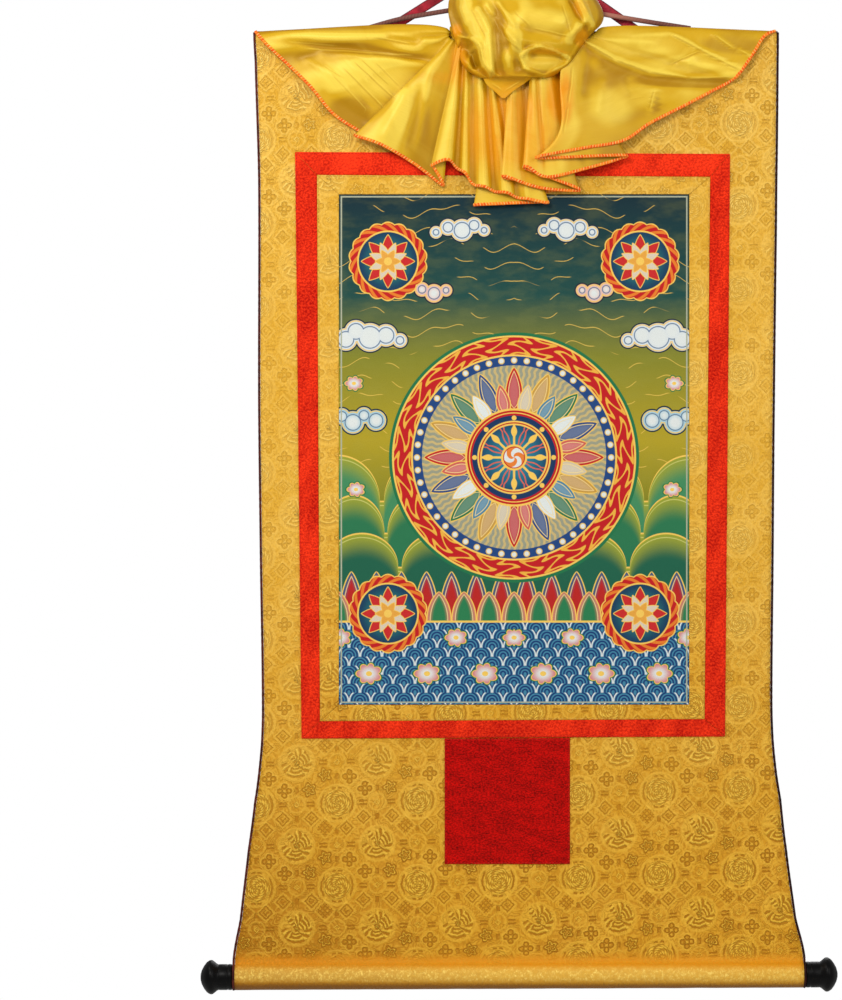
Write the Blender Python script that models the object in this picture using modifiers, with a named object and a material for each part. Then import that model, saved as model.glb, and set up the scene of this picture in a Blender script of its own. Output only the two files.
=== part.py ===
"""A hanging scroll: a picture framed in brocade, with its veil lifted into a bunch at the top.

Run it in Blender 4.5. Sizes in the tables are millimetres: x to the right of the hanging point,
drop below it, and forward in front of the cloth's own plane. The scene is in metres, +Z up,
and the front faces -Y. The origin is the point where the ribbon hangs on its hook.
"""

import math
from collections import namedtuple

import bmesh
import bpy
from mathutils import Vector

MM = 0.001
GAP = 0.3

# Cloth plane and thicknesses
PLANE_IN_FRONT = 16.0
MOUNT_THICK = 1.5
STRIP_THICK = 1.0
VEIL_THICK = 1.2
MITRE_GAP = GAP / 2

# Bottom stick and its sleeve
STICK_RADIUS = 10.75
STICK_LEFT = -286.0
STICK_RIGHT = 287.0
STICK_DROP = 1026.8
STICK_TILT = -0.0044
SLEEVE_EASE = 0.8
SLEEVE_FILLET = 8.0
SLEEVE_TURNED_HEM = 14.0
SLEEVE_ROUND_STEPS = 20
SLEEVE_FILLET_STEPS = 4

# Top lath
LATH_LEFT = -263.5
LATH_RIGHT = 259.5
LATH_TOP = 82.0
LATH_HEIGHT = 12.0
LATH_DEPTH = 4.0
LATH_ROUNDING = 0.6
MOUNT_TOP = 83.5

# Side piping
PIPING_RADIUS = 1.2
PIPING_GAP = 0.45
PIPING_INSET = 2 * PIPING_RADIUS + PIPING_GAP
PIPING_SIDES = 6

# Hangers
CORD_RADIUS = 2.5
CORD_SIDES = 8
CORD_POINTS = 48
RIBBON_WIDTH = 9.5
RIBBON_THICK = 1.2
RIBBON_BEND = 18.0
RIBBON_FOOT = 6.0
RIBBON_STEPS = 8
RIBBON_SLOPES = (1.565, 1.396)

EdgeRow = namedtuple("EdgeRow", "drop left right")
EDGE_ROWS = [
    EdgeRow(82.0, 265.5, 260.5),
    EdgeRow(111.0, 264.0, 260.3),
    EdgeRow(231.0, 260.5, 259.0),
    EdgeRow(451.0, 260.5, 256.5),
    EdgeRow(611.0, 258.7, 255.2),
    EdgeRow(751.0, 256.7, 254.0),
    EdgeRow(791.0, 257.5, 255.2),
    EdgeRow(824.0, 260.5, 258.5),
    EdgeRow(851.0, 264.4, 262.9),
    EdgeRow(901.0, 271.0, 268.7),
    EdgeRow(970.0, 279.0, 277.8),
    EdgeRow(1009.0, 286.0, 287.0),
]

# Corners run top left, top right, bottom right, bottom left, as (x, drop)
FRAME_OUTER = [(-223.5, 203.0), (211.5, 205.0), (206.5, 787.5), (-217.0, 789.5)]
FRAME_INNER = [(-201.5, 226.0), (191.5, 228.0), (186.0, 770.0), (-198.5, 772.0)]
PICTURE = [(-179.5, 245.5), (170.5, 245.5), (170.5, 755.5), (-179.5, 755.5)]
DOOR = [(-74.0, 789.2), (51.5, 788.6), (51.5, 915.0), (-74.0, 915.0)]
SIDES = ("top", "right", "bottom", "left")

# One row for each fold of the veil's skirt, from the left corner to the right corner: where
# the fold starts at the gather, where it ends at the hem, how far forward it stands at both, how
# far it rises and how far it bows to the right on the way
FoldRow = namedtuple(
    "FoldRow", "top_x top_drop top_forward hem_x hem_drop hem_forward rise bow",
)
FOLD_ROWS = [
    FoldRow(-68.0, 83.5, 6.5, -264.0, 83.0, 2.2, 8.0, 0.0),
    FoldRow(-69.0, 85.0, 8.5, -252.0, 97.0, 7.5, 4.0, 0.0),
    FoldRow(-69.6, 86.3, 7.8, -237.0, 111.0, 5.0, 1.0, 0.0),
    FoldRow(-69.8, 87.6, 9.2, -208.5, 139.0, 9.0, 0.0, 0.0),
    FoldRow(-69.4, 88.8, 8.4, -184.5, 167.0, 6.0, 0.0, 0.0),
    FoldRow(-68.8, 89.9, 8.6, -151.0, 188.0, 4.8, 0.0, 0.0),
    FoldRow(-68.0, 90.8, 9.4, -149.5, 190.0, 7.6, 0.0, 0.0),
    FoldRow(-67.2, 91.5, 10.6, -161.0, 188.5, 10.2, 0.0, 0.0),
    FoldRow(-66.4, 92.0, 12.0, -162.5, 189.0, 13.2, 0.0, 0.0),
    FoldRow(-65.4, 92.4, 13.6, -137.0, 198.0, 16.0, 0.0, 0.0),
    FoldRow(-64.2, 92.6, 12.8, -105.0, 216.0, 8.0, 0.0, 0.0),
    FoldRow(-62.9, 92.7, 12.2, -78.0, 236.5, 6.2, 0.0, 0.0),
    FoldRow(-61.6, 92.7, 13.0, -76.5, 235.0, 9.2, 0.0, 0.0),
    FoldRow(-60.2, 92.7, 14.0, -85.5, 220.0, 12.2, 0.0, 0.0),
    FoldRow(-58.8, 92.8, 15.0, -86.5, 218.5, 15.4, 0.0, 0.0),
    FoldRow(-57.2, 93.0, 16.2, -71.0, 213.0, 18.5, 0.0, 0.0),
    FoldRow(-55.0, 93.4, 13.6, -62.0, 221.0, 10.0, 0.0, 0.0),
    FoldRow(-51.5, 94.0, 14.4, -54.0, 226.0, 15.0, 0.0, 0.0),
    FoldRow(-46.5, 95.0, 12.4, -46.0, 237.0, 10.9, 0.0, 0.0),
    FoldRow(-40.0, 95.5, 13.5, -34.0, 240.0, 17.9, 0.0, 0.0),
    FoldRow(-33.0, 96.0, 12.0, -24.0, 244.5, 11.4, 0.0, 0.0),
    FoldRow(-25.0, 96.0, 13.2, -12.0, 246.0, 17.0, 0.0, 0.0),
    FoldRow(-18.0, 96.0, 12.2, -2.0, 250.5, 11.4, 0.0, 0.0),
    FoldRow(-10.8, 96.0, 12.8, 8.6, 252.0, 13.6, 0.0, 0.0),
    FoldRow(-7.9, 96.0, 12.2, 25.7, 255.5, 12.8, 0.0, 0.0),
    FoldRow(-3.0, 96.0, 9.2, 24.3, 254.5, 8.6, 0.0, 0.0),
    FoldRow(0.1, 96.0, 6.4, -35.3, 257.0, 9.0, 0.0, 0.0),
    FoldRow(3.1, 96.0, 5.2, -36.7, 256.0, 5.4, 0.0, 0.0),
    FoldRow(7.5, 96.0, 6.2, 44.0, 241.0, 5.2, 0.0, 0.0),
    FoldRow(10.5, 96.0, 9.6, 45.1, 239.0, 10.6, 0.0, 0.0),
    FoldRow(13.1, 96.0, 12.0, -11.2, 232.0, 20.2, 0.0, 0.0),
    FoldRow(17.3, 96.0, 16.8, -12.3, 230.5, 22.6, 0.0, 0.0),
    FoldRow(21.7, 96.0, 13.4, 20.0, 241.0, 17.2, 0.0, 0.0),
    FoldRow(24.6, 96.0, 15.2, 54.6, 243.6, 12.8, 0.0, 0.0),
    FoldRow(27.8, 96.0, 16.2, 57.3, 241.0, 16.0, 0.0, 0.0),
    FoldRow(33.4, 96.0, 17.6, 7.8, 223.0, 25.0, 0.0, 0.0),
    FoldRow(37.0, 96.0, 19.8, 9.1, 221.5, 27.2, 0.0, 0.0),
    FoldRow(42.3, 95.5, 21.0, 28.4, 231.0, 24.2, 0.0, 0.0),
    FoldRow(45.1, 95.0, 14.6, 70.0, 221.0, 16.4, 0.0, 0.0),
    FoldRow(47.8, 94.5, 13.2, 99.4, 212.0, 11.6, 0.0, 0.0),
    FoldRow(52.5, 94.0, 16.4, 103.1, 208.5, 15.2, 0.0, 0.0),
    FoldRow(56.8, 93.5, 20.8, 25.0, 212.5, 29.0, 0.0, 15.0),
    FoldRow(60.2, 93.0, 20.8, 21.1, 211.0, 34.0, 0.0, 16.0),
    FoldRow(61.9, 92.5, 17.8, 64.8, 202.0, 24.4, 0.0, 6.0),
    FoldRow(63.2, 92.0, 14.8, 104.0, 194.0, 15.7, 0.0, 0.0),
    FoldRow(65.4, 91.4, 13.2, 131.5, 176.0, 11.2, 0.0, 0.0),
    FoldRow(67.4, 90.7, 12.0, 167.5, 157.5, 9.5, 0.0, 0.0),
    FoldRow(69.2, 89.9, 10.6, 194.5, 143.0, 7.0, 0.0, 0.0),
    FoldRow(71.0, 88.8, 9.4, 211.0, 134.0, 5.2, 0.0, 0.0),
    FoldRow(73.0, 87.4, 9.2, 221.0, 126.0, 9.0, 0.0, 0.0),
    FoldRow(75.2, 85.6, 8.6, 235.5, 105.0, 7.5, 1.0, 0.0),
    FoldRow(77.4, 83.2, 7.6, 246.0, 88.5, 5.6, 3.0, 0.0),
    FoldRow(79.5, 80.8, 6.6, 257.5, 82.5, 2.2, 4.0, 0.0),
]
FOLD_STEPS = 3
SKIRT_ROWS = 6
SKIRT_BELLY = 1.0
BOW_LOW = 2.4

# One row for each section of the bunch, from its root behind the gather, over the lath, up
# behind the brown cord, over it and down in front to the loose end: its ends across, how far
# forward its middle stands, how far its two sides turn back from there and how far they droop
BunchRow = namedtuple("BunchRow", "drop forward left right turned_back shoulder")
BUNCH_ROWS = [
    BunchRow(106.0, 20.0, -54.0, 47.0, 1.0, 0.0),
    BunchRow(98.0, 14.5, -59.0, 53.0, 1.0, 0.0),
    BunchRow(88.0, 7.0, -67.0, 66.0, 1.0, 0.0),
    BunchRow(79.5, 1.5, -69.0, 72.0, 0.0, 0.0),
    BunchRow(75.0, -5.0, -66.0, 69.0, -2.0, 0.0),
    BunchRow(67.0, -8.5, -63.0, 67.0, -4.0, 0.0),
    BunchRow(54.0, -9.0, -60.0, 64.0, -5.0, 2.0),
    BunchRow(38.0, -8.0, -57.0, 60.0, -4.0, 6.0),
    BunchRow(23.0, -3.0, -55.0, 57.0, -1.0, 11.0),
    BunchRow(16.0, 6.0, -55.0, 57.0, 4.0, 15.0),
    BunchRow(21.0, 17.0, -58.0, 62.0, 9.0, 13.0),
    BunchRow(35.0, 25.0, -65.0, 69.0, 14.0, 7.0),
    BunchRow(51.0, 31.0, -69.5, 78.0, 19.0, 2.0),
    BunchRow(65.0, 36.0, -70.0, 84.0, 24.0, 0.0),
    BunchRow(76.0, 40.0, -68.0, 82.5, 27.0, 0.0),
    BunchRow(89.0, 43.0, -62.0, 70.0, 28.0, 0.0),
    BunchRow(103.0, 45.0, -60.0, 60.0, 27.0, 0.0),
    BunchRow(116.0, 44.0, -57.0, 51.0, 24.0, 0.0),
    BunchRow(125.5, 40.0, -49.0, 40.0, 19.0, 0.0),
    BunchRow(131.0, 33.0, -38.0, 29.0, 11.0, 0.0),
    BunchRow(131.0, 27.0, -33.0, 16.0, 5.0, 0.0),
    BunchRow(138.0, 24.5, -28.0, 6.0, 1.0, 0.0),
    BunchRow(145.0, 24.0, -22.0, -6.0, 0.5, 0.0),
    BunchRow(151.5, 24.0, -18.0, -13.0, 0.0, 0.0),
]
BUNCH_COLUMNS = 22
BUNCH_ROUNDING = 0.55
BUNCH_SQUARENESS = 0.7

# Soft ridges and hollows of the bunch: from and to as (across 0 to 1, row), height and width
CreaseRow = namedtuple("CreaseRow", "across_from row_from across_to row_to height width")
CREASE_ROWS = [
    CreaseRow(0.14, 10.5, 0.29, 18.0, 5.0, 0.055),
    CreaseRow(0.05, 13.0, 0.18, 17.0, -6.0, 0.06),
    CreaseRow(0.27, 10.0, 0.47, 15.0, 3.5, 0.05),
    CreaseRow(0.38, 11.0, 0.36, 18.0, -4.0, 0.06),
    CreaseRow(0.47, 12.5, 0.83, 12.0, 5.0, 0.12),
    CreaseRow(0.48, 15.7, 0.92, 15.2, 4.0, 0.05),
    CreaseRow(0.52, 16.8, 0.90, 16.6, -5.0, 0.06),
    CreaseRow(0.86, 10.0, 0.80, 14.5, 3.5, 0.05),
]

# Steps across and down the mount, along a strip and over the two larger patches
CLOTH_COLUMNS = 18
CLOTH_ROWS = 18
STRIP_STEPS = 14
PICTURE_STEPS = (12, 16)
DOOR_STEPS = (5, 5)

# How far the hanging cloth bows, sways and flutes towards its foot
BELLY = 1.3
SWAY = 0.8
FLUTE = 2.8
FLUTE_WIDTH = 29.0
HELD_FROM = 95.0
HELD_TO = 958.0

COLOURS = {
    "gold_brocade": ((0.72, 0.43, 0.08, 1.0), 0.55, 0.0),
    "red_damask": ((0.70, 0.02, 0.01, 1.0), 0.7, 0.0),
    "deep_red_damask": ((0.45, 0.01, 0.01, 1.0), 0.7, 0.0),
    "printed_cloth": ((0.12, 0.22, 0.12, 1.0), 0.75, 0.0),
    "yellow_satin": ((0.83, 0.55, 0.04, 1.0), 0.35, 0.0),
    "dark_piping": ((0.05, 0.01, 0.01, 1.0), 0.6, 0.0),
    "dark_wood": ((0.06, 0.03, 0.02, 1.0), 0.6, 0.0),
    "plain_wood": ((0.55, 0.36, 0.18, 1.0), 0.7, 0.0),
    "black_lacquer": ((0.01, 0.01, 0.01, 1.0), 0.25, 0.0),
    "brown_cord": ((0.25, 0.12, 0.09, 1.0), 0.8, 0.0),
    "crimson_ribbon": ((0.30, 0.01, 0.03, 1.0), 0.5, 0.0),
}


def clear_scene():
    for obj in list(bpy.data.objects):
        bpy.data.objects.remove(obj, do_unlink=True)


def smooth(value):
    value = min(max(value, 0.0), 1.0)
    return value * value * (3 - 2 * value)


def spline(values, t):
    """A value between evenly spaced ones, on a smooth curve through all of them."""
    index = min(int(t), len(values) - 2)
    part = t - index
    before = values[max(index - 1, 0)]
    start = values[index]
    end = values[index + 1]
    after = values[min(index + 2, len(values) - 1)]
    slope_start = (end - before) / 2
    slope_end = (after - start) / 2
    turn = 2 * part ** 3 - 3 * part ** 2
    return (
        start * (turn + 1)
        + slope_start * (part ** 3 - 2 * part ** 2 + part)
        - end * turn
        + slope_end * (part ** 3 - part ** 2)
    )


def spline_row(rows, t):
    """A row between the rows of a table, every column on its own smooth curve."""
    return type(rows[0])(*(spline(column, t) for column in zip(*rows)))


def hang(x, drop):
    """How far forward the hanging cloth stands from its plane, in mm."""
    held = smooth((drop - HELD_FROM) / 110) * smooth((HELD_TO - drop) / 75)
    belly = BELLY * math.sin(math.pi * (drop - 90) / 900)
    sway = SWAY * math.sin(x / 95 + drop / 260)
    flared = smooth((drop - 780) / 120) * (x / 265) ** 2
    flutes = FLUTE * flared * math.cos(x / FLUTE_WIDTH + 0.6)
    return held * (belly + sway + flutes)


def place(x, drop, forward):
    """World position of a point given in the tables' millimetres."""
    return Vector((x, -PLANE_IN_FRONT - forward, -drop)) * MM


def edge_at(drop):
    """Left and right edge of the mount's cloth at a drop, inside its piping."""
    rows = EDGE_ROWS
    drop = min(max(drop, rows[0].drop), rows[-1].drop)
    index = max(i for i, row in enumerate(rows[:-1]) if row.drop <= drop)
    step = (drop - rows[index].drop) / (rows[index + 1].drop - rows[index].drop)
    left = spline([row.left for row in rows], index + step)
    right = spline([row.right for row in rows], index + step)
    return PIPING_INSET - left, right - PIPING_INSET


def stick_drop(x):
    return STICK_DROP + STICK_TILT * x


def new_object(name, mesh_or_curve, material, collection):
    obj = bpy.data.objects.new(name, mesh_or_curve)
    collection.objects.link(obj)
    obj.data.materials.append(material)
    return obj


def material_for(name):
    colour, roughness, metallic = COLOURS[name]
    made = bpy.data.materials.new(name)
    made.use_nodes = True
    made.diffuse_color = colour
    shader = made.node_tree.nodes["Principled BSDF"]
    shader.inputs["Base Color"].default_value = colour
    shader.inputs["Roughness"].default_value = roughness
    shader.inputs["Metallic"].default_value = metallic
    return made


def grid_object(name, columns, rows, point_at, material, collection):
    """An open sheet: a flat grid whose points are then placed by point_at(column, row)."""
    mesh = bpy.data.meshes.new(name)
    shell = bmesh.new()
    bmesh.ops.create_grid(shell, x_segments=columns, y_segments=rows, size=0.5)
    for vertex in shell.verts:
        column = round((vertex.co.x + 0.5) * columns)
        row = round((0.5 - vertex.co.y) * rows)
        vertex.co = point_at(column, row)
    shell.to_mesh(mesh)
    shell.free()
    return new_object(name, mesh, material, collection)


def give_thickness(obj, thickness):
    shell = obj.modifiers.new("Thickness", "SOLIDIFY")
    shell.thickness = thickness * MM
    shell.offset = 0.0
    shell.use_even_offset = False
    return obj


def sleeve_profile():
    """The cloth's path round the stick, as (forward, above the stick's axis), from the front
    hollow over the stick and up to the turned hem behind."""
    wrap = STICK_RADIUS + SLEEVE_EASE + MOUNT_THICK / 2
    reach = wrap + SLEEVE_FILLET
    front_height = math.sqrt(reach ** 2 - SLEEVE_FILLET ** 2)
    behind = MOUNT_THICK + GAP
    back_height = math.sqrt(reach ** 2 - (SLEEVE_FILLET + behind) ** 2)
    front_turn = math.atan2(front_height, SLEEVE_FILLET)
    back_turn = math.atan2(back_height, -SLEEVE_FILLET - behind)
    points = []
    for step in range(SLEEVE_FILLET_STEPS):
        angle = math.pi + front_turn * step / SLEEVE_FILLET_STEPS
        forward = SLEEVE_FILLET + SLEEVE_FILLET * math.cos(angle)
        points.append((forward, front_height + SLEEVE_FILLET * math.sin(angle)))
    for step in range(SLEEVE_ROUND_STEPS + 1):
        share = step / SLEEVE_ROUND_STEPS
        angle = front_turn + (back_turn - 2 * math.pi - front_turn) * share
        points.append((wrap * math.cos(angle), wrap * math.sin(angle)))
    for step in range(1, SLEEVE_FILLET_STEPS + 1):
        share = step / SLEEVE_FILLET_STEPS
        angle = (back_turn - math.pi) * (1 - share)
        forward = -SLEEVE_FILLET - behind + SLEEVE_FILLET * math.cos(angle)
        points.append((forward, back_height + SLEEVE_FILLET * math.sin(angle)))
    points.append((-behind, back_height + SLEEVE_TURNED_HEM))
    return points


def mount_section(across):
    """The mount's middle surface down one line from the top edge to the turned hem."""
    profile = sleeve_profile()
    height = profile[0][1]
    points = []
    for row in range(CLOTH_ROWS):
        down = row / CLOTH_ROWS
        drop = MOUNT_TOP + (STICK_DROP - height - MOUNT_TOP) * down
        left, right = edge_at(drop)
        x = left + (right - left) * across
        drop += STICK_TILT * x * down
        points.append(place(x, drop, hang(x, drop)))
    for forward, above in profile:
        left, right = edge_at(STICK_DROP - above)
        x = left + (right - left) * across
        points.append(place(x, stick_drop(x) - above, forward))
    return points


def build_mount(material, collection):
    sections = [mount_section(column / CLOTH_COLUMNS) for column in range(CLOTH_COLUMNS + 1)]
    rows = len(sections[0]) - 1
    obj = grid_object(
        "brocade_mount", CLOTH_COLUMNS, rows,
        lambda column, row: sections[column][row], material, collection,
    )
    obj.data.shade_smooth()
    return give_thickness(obj, MOUNT_THICK)


def tube(name, points, radius, sides, material, collection):
    curve = bpy.data.curves.new(name, "CURVE")
    curve.dimensions = "3D"
    curve.bevel_depth = radius * MM
    curve.bevel_resolution = sides // 2 - 2
    curve.use_fill_caps = True
    line = curve.splines.new("POLY")
    line.points.add(len(points) - 1)
    for target, point in zip(line.points, points):
        target.co = (*point, 1.0)
    return new_object(name, curve, material, collection)


def build_piping(name, across, material, collection):
    """The dark edge sewn along one side of the mount and on round the sleeve."""
    outward = -1 if across == 0 else 1
    shift = Vector((outward * (PIPING_RADIUS + PIPING_GAP) * MM, 0, 0))
    turned_hem = SLEEVE_FILLET_STEPS + 2
    points = [point + shift for point in mount_section(across)[:-turned_hem]]
    return tube(name, points, PIPING_RADIUS, PIPING_SIDES, material, collection)


def inset_corners(corners, amount):
    """The corners of a four-sided outline, drawn in by the same amount on every side."""
    moved = []
    count = len(corners)
    for index, corner in enumerate(corners):
        here = Vector(corner)
        before = (Vector(corners[index - 1]) - here).normalized()
        after = (Vector(corners[(index + 1) % count]) - here).normalized()
        sine = abs(before.x * after.y - before.y * after.x)
        moved.append(here + (before + after) * amount / sine)
    return moved


def patch(name, corners, columns, rows, material, collection):
    """A flat patch laid on the mount, following the way it hangs."""
    top_left, top_right, bottom_right, bottom_left = inset_corners(corners, MITRE_GAP)
    lift = MOUNT_THICK / 2 + GAP + STRIP_THICK / 2

    def point_at(column, row):
        across = column / columns
        down = row / rows
        upper = top_left.lerp(top_right, across)
        lower = bottom_left.lerp(bottom_right, across)
        spot = upper.lerp(lower, down)
        return place(spot.x, spot.y, hang(spot.x, spot.y) + lift)

    obj = grid_object(name, columns, rows, point_at, material, collection)
    return give_thickness(obj, STRIP_THICK)


def build_frame(prefix, outer, inner, material, collection):
    """Four mitred strips between two outlines, each with its long side outermost."""
    for index, side in enumerate(SIDES):
        after = (index + 1) % 4
        corners = [outer[index], outer[after], inner[after], inner[index]]
        patch(f"{prefix}_{side}", corners, STRIP_STEPS, 1, material, collection)


def build_lath(material, collection):
    bpy.ops.mesh.primitive_cube_add(size=1)
    obj = bpy.context.active_object
    obj.name = "top_lath"
    obj.data.name = "top_lath"
    length = LATH_RIGHT - LATH_LEFT
    middle = place(
        (LATH_LEFT + LATH_RIGHT) / 2,
        LATH_TOP + LATH_HEIGHT / 2,
        -MOUNT_THICK / 2 - GAP - LATH_DEPTH / 2,
    )
    for vertex in obj.data.vertices:
        size = Vector((length, LATH_DEPTH, LATH_HEIGHT)) * MM
        vertex.co = Vector(a * b for a, b in zip(vertex.co, size))
    obj.location = middle
    rounded = obj.modifiers.new("Rounded", "BEVEL")
    rounded.width = LATH_ROUNDING * MM
    rounded.segments = 1
    obj.data.materials.append(material)
    bpy.context.collection.objects.unlink(obj)
    collection.objects.link(obj)
    return obj


def turned(name, profile, material, collection, steps=28):
    """A turned piece on the X axis, from a profile of (distance along, radius)."""
    mesh = bpy.data.meshes.new(name)
    points = [(radius * MM, 0, along * MM) for along, radius in profile]
    edges = [(index, index + 1) for index in range(len(points) - 1)]
    mesh.from_pydata(points, edges, [])
    obj = new_object(name, mesh, material, collection)
    spin = obj.modifiers.new("Turned", "SCREW")
    spin.axis = "Z"
    spin.steps = steps
    spin.render_steps = steps
    spin.use_merge_vertices = True
    spin.merge_threshold = 0.00001
    return obj


def build_stick(material, collection):
    length = STICK_RIGHT - STICK_LEFT
    profile = [(length, 0.0), (length, STICK_RADIUS), (0.0, STICK_RADIUS), (0.0, 0.0)]
    obj = turned("bottom_stick", profile, material, collection)
    obj.location = place(STICK_LEFT, stick_drop(STICK_LEFT), 0)
    obj.rotation_euler = (0, math.pi / 2 + math.atan(STICK_TILT), 0)
    return obj


KNOB_LENGTH = 31.5
KNOB_PROFILE = [
    (0.0, 0.0),
    (0.0, 12.4),
    (0.6, 12.9),
    (13.0, 12.9),
    (15.5, 13.7),
    (17.5, 15.4),
    (19.3, 16.8),
    (20.8, 17.15),
    (22.6, 16.8),
    (25.4, 14.9),
    (28.2, 11.2),
    (30.3, 6.8),
    (KNOB_LENGTH, 3.0),
    (KNOB_LENGTH, 0.0),
]


def build_knob(name, side, material, collection):
    """side is -1 for the left end of the stick and 1 for the right one."""
    obj = turned(name, KNOB_PROFILE[::-1], material, collection)
    end = STICK_LEFT if side < 0 else STICK_RIGHT
    x = end + side * GAP
    tilt = math.atan(STICK_TILT)
    obj.location = place(x, stick_drop(x), 0)
    obj.rotation_euler = (0, side * math.pi / 2 + tilt, 0)
    return obj


def crease_at(across, row):
    """How far the creases push the bunch forward at one place, in mm."""
    rows = len(BUNCH_ROWS)
    height = 0.0
    for crease in CREASE_ROWS:
        start = Vector((crease.across_from, crease.row_from / rows))
        along = Vector((crease.across_to, crease.row_to / rows)) - start
        spot = Vector((across, row / rows)) - start
        share = min(max(spot.dot(along) / along.length_squared, 0.0), 1.0)
        away = (spot - along * share).length / crease.width
        height += crease.height * math.exp(-away * away)
    return height


def build_skirt(material, collection):
    """The wings and the pleats, gathered to the middle of the top edge."""
    columns = (len(FOLD_ROWS) - 1) * FOLD_STEPS

    def point_at(column, row):
        fold = spline_row(FOLD_ROWS, column / FOLD_STEPS)
        down = row / SKIRT_ROWS
        x = fold.top_x + (fold.hem_x - fold.top_x) * down
        x += fold.bow * math.sin(math.pi * down ** BOW_LOW)
        drop = fold.top_drop + (fold.hem_drop - fold.top_drop) * down
        drop -= fold.rise * math.sin(math.pi * down ** 0.5) * (1 - 0.3 * down)
        forward = fold.top_forward + (fold.hem_forward - fold.top_forward) * down
        forward += SKIRT_BELLY * math.sin(math.pi * down)
        return place(x, drop, forward + hang(x, drop))

    obj = grid_object("veil", columns, SKIRT_ROWS, point_at, material, collection)
    obj.data.shade_smooth()
    return obj


def build_bunch(material, collection):
    """The lifted middle of the veil, a sheet that goes over the cord and falls forward."""
    rows = len(BUNCH_ROWS) - 1

    def point_at(column, row):
        section = BUNCH_ROWS[row]
        across = column / BUNCH_COLUMNS
        angle = (2 * across - 1) * math.pi / 2
        middle = (section.left + section.right) / 2
        half = (section.right - section.left) / 2
        spread = BUNCH_ROUNDING * math.sin(angle) + (1 - BUNCH_ROUNDING) * (2 * across - 1)
        turn = 1 - max(math.cos(angle), 0.0) ** BUNCH_SQUARENESS
        forward = section.forward - section.turned_back * turn
        forward += crease_at(across, row)
        drop = section.drop + section.shoulder * (2 * across - 1) ** 2
        return place(middle + half * spread, drop, forward)

    obj = grid_object("veil_bunch", BUNCH_COLUMNS, rows, point_at, material, collection)
    obj.data.shade_smooth()
    return obj


def build_veil(material, collection, helpers):
    """Skirt and bunch are one cloth, so their two thick sheets are joined into one solid."""
    skirt = give_thickness(build_skirt(material, collection), VEIL_THICK)
    bunch = give_thickness(build_bunch(material, helpers), VEIL_THICK)
    bunch.hide_render = True
    bunch.display_type = "WIRE"
    join = skirt.modifiers.new("One cloth", "BOOLEAN")
    join.operation = "UNION"
    join.object = bunch
    return skirt


CordRow = namedtuple("CordRow", "x drop forward")
CORD_ROUTE = [
    CordRow(-152.0, 79.2, -2.0),
    CordRow(-120.0, 70.4, 0.0),
    CordRow(-90.0, 65.0, 1.0),
    CordRow(-60.0, 60.2, 2.4),
    CordRow(-30.0, 55.4, 4.4),
    CordRow(-14.0, 52.8, 5.1),
    CordRow(-3.5, 51.9, 5.3),
    CordRow(8.0, 52.8, 5.1),
    CordRow(26.0, 55.6, 4.4),
    CordRow(56.0, 60.5, 2.4),
    CordRow(90.0, 66.3, 1.0),
    CordRow(130.0, 72.9, 0.0),
    CordRow(172.0, 79.2, -2.0),
]


def build_cord(material, collection):
    last = len(CORD_ROUTE) - 1
    rows = [spline_row(CORD_ROUTE, last * step / (CORD_POINTS - 1)) for step in range(CORD_POINTS)]
    points = [place(row.x, row.drop, row.forward) for row in rows]
    return tube("hanging_cord", points, CORD_RADIUS, CORD_SIDES, material, collection)


def ribbon_route():
    """Middle line of the ribbon as (x, drop, forward): up one leg, round the hook, down."""
    left_angle = math.atan(1 / RIBBON_SLOPES[0])
    right_angle = math.atan(1 / RIBBON_SLOPES[1])
    foot = LATH_TOP + RIBBON_FOOT
    lath_forward = -MOUNT_THICK / 2 - GAP - LATH_DEPTH - GAP - RIBBON_THICK / 2
    bend = []
    for step in range(RIBBON_STEPS + 1):
        angle = -left_angle + (left_angle + right_angle) * step / RIBBON_STEPS
        bend.append((RIBBON_BEND * math.sin(angle), RIBBON_BEND * (1 - math.cos(angle))))
    points = []
    start_x, start_drop = bend[0]
    foot_x = start_x - (foot - start_drop) * RIBBON_SLOPES[0]
    for step in range(RIBBON_STEPS):
        share = step / RIBBON_STEPS
        points.append((foot_x + (start_x - foot_x) * share, foot + (start_drop - foot) * share))
    points += bend
    end_x, end_drop = bend[-1]
    foot_x = end_x + (foot - end_drop) * RIBBON_SLOPES[1]
    for step in range(1, RIBBON_STEPS + 1):
        share = step / RIBBON_STEPS
        points.append((end_x + (foot_x - end_x) * share, end_drop + (foot - end_drop) * share))
    route = []
    for x, drop in points:
        share = drop / foot
        route.append((x, drop, -PLANE_IN_FRONT + (lath_forward + PLANE_IN_FRONT) * share))
    return route


def build_ribbon(material, collection):
    route = ribbon_route()
    rows = len(route) - 1

    def point_at(column, row):
        x, drop, forward = route[row]
        before = route[max(row - 1, 0)]
        after = route[min(row + 1, rows)]
        along = Vector((after[0] - before[0], after[1] - before[1])).normalized()
        side = (column - 0.5) * RIBBON_WIDTH
        x -= along.y * side
        drop += along.x * side
        if row in (0, rows):
            slope = along.y / along.x
            x -= (drop - route[row][1]) / slope
            drop = route[row][1]
        return place(x, drop, forward)

    obj = grid_object("hanging_ribbon", 1, rows, point_at, material, collection)
    return give_thickness(obj, RIBBON_THICK)


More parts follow.
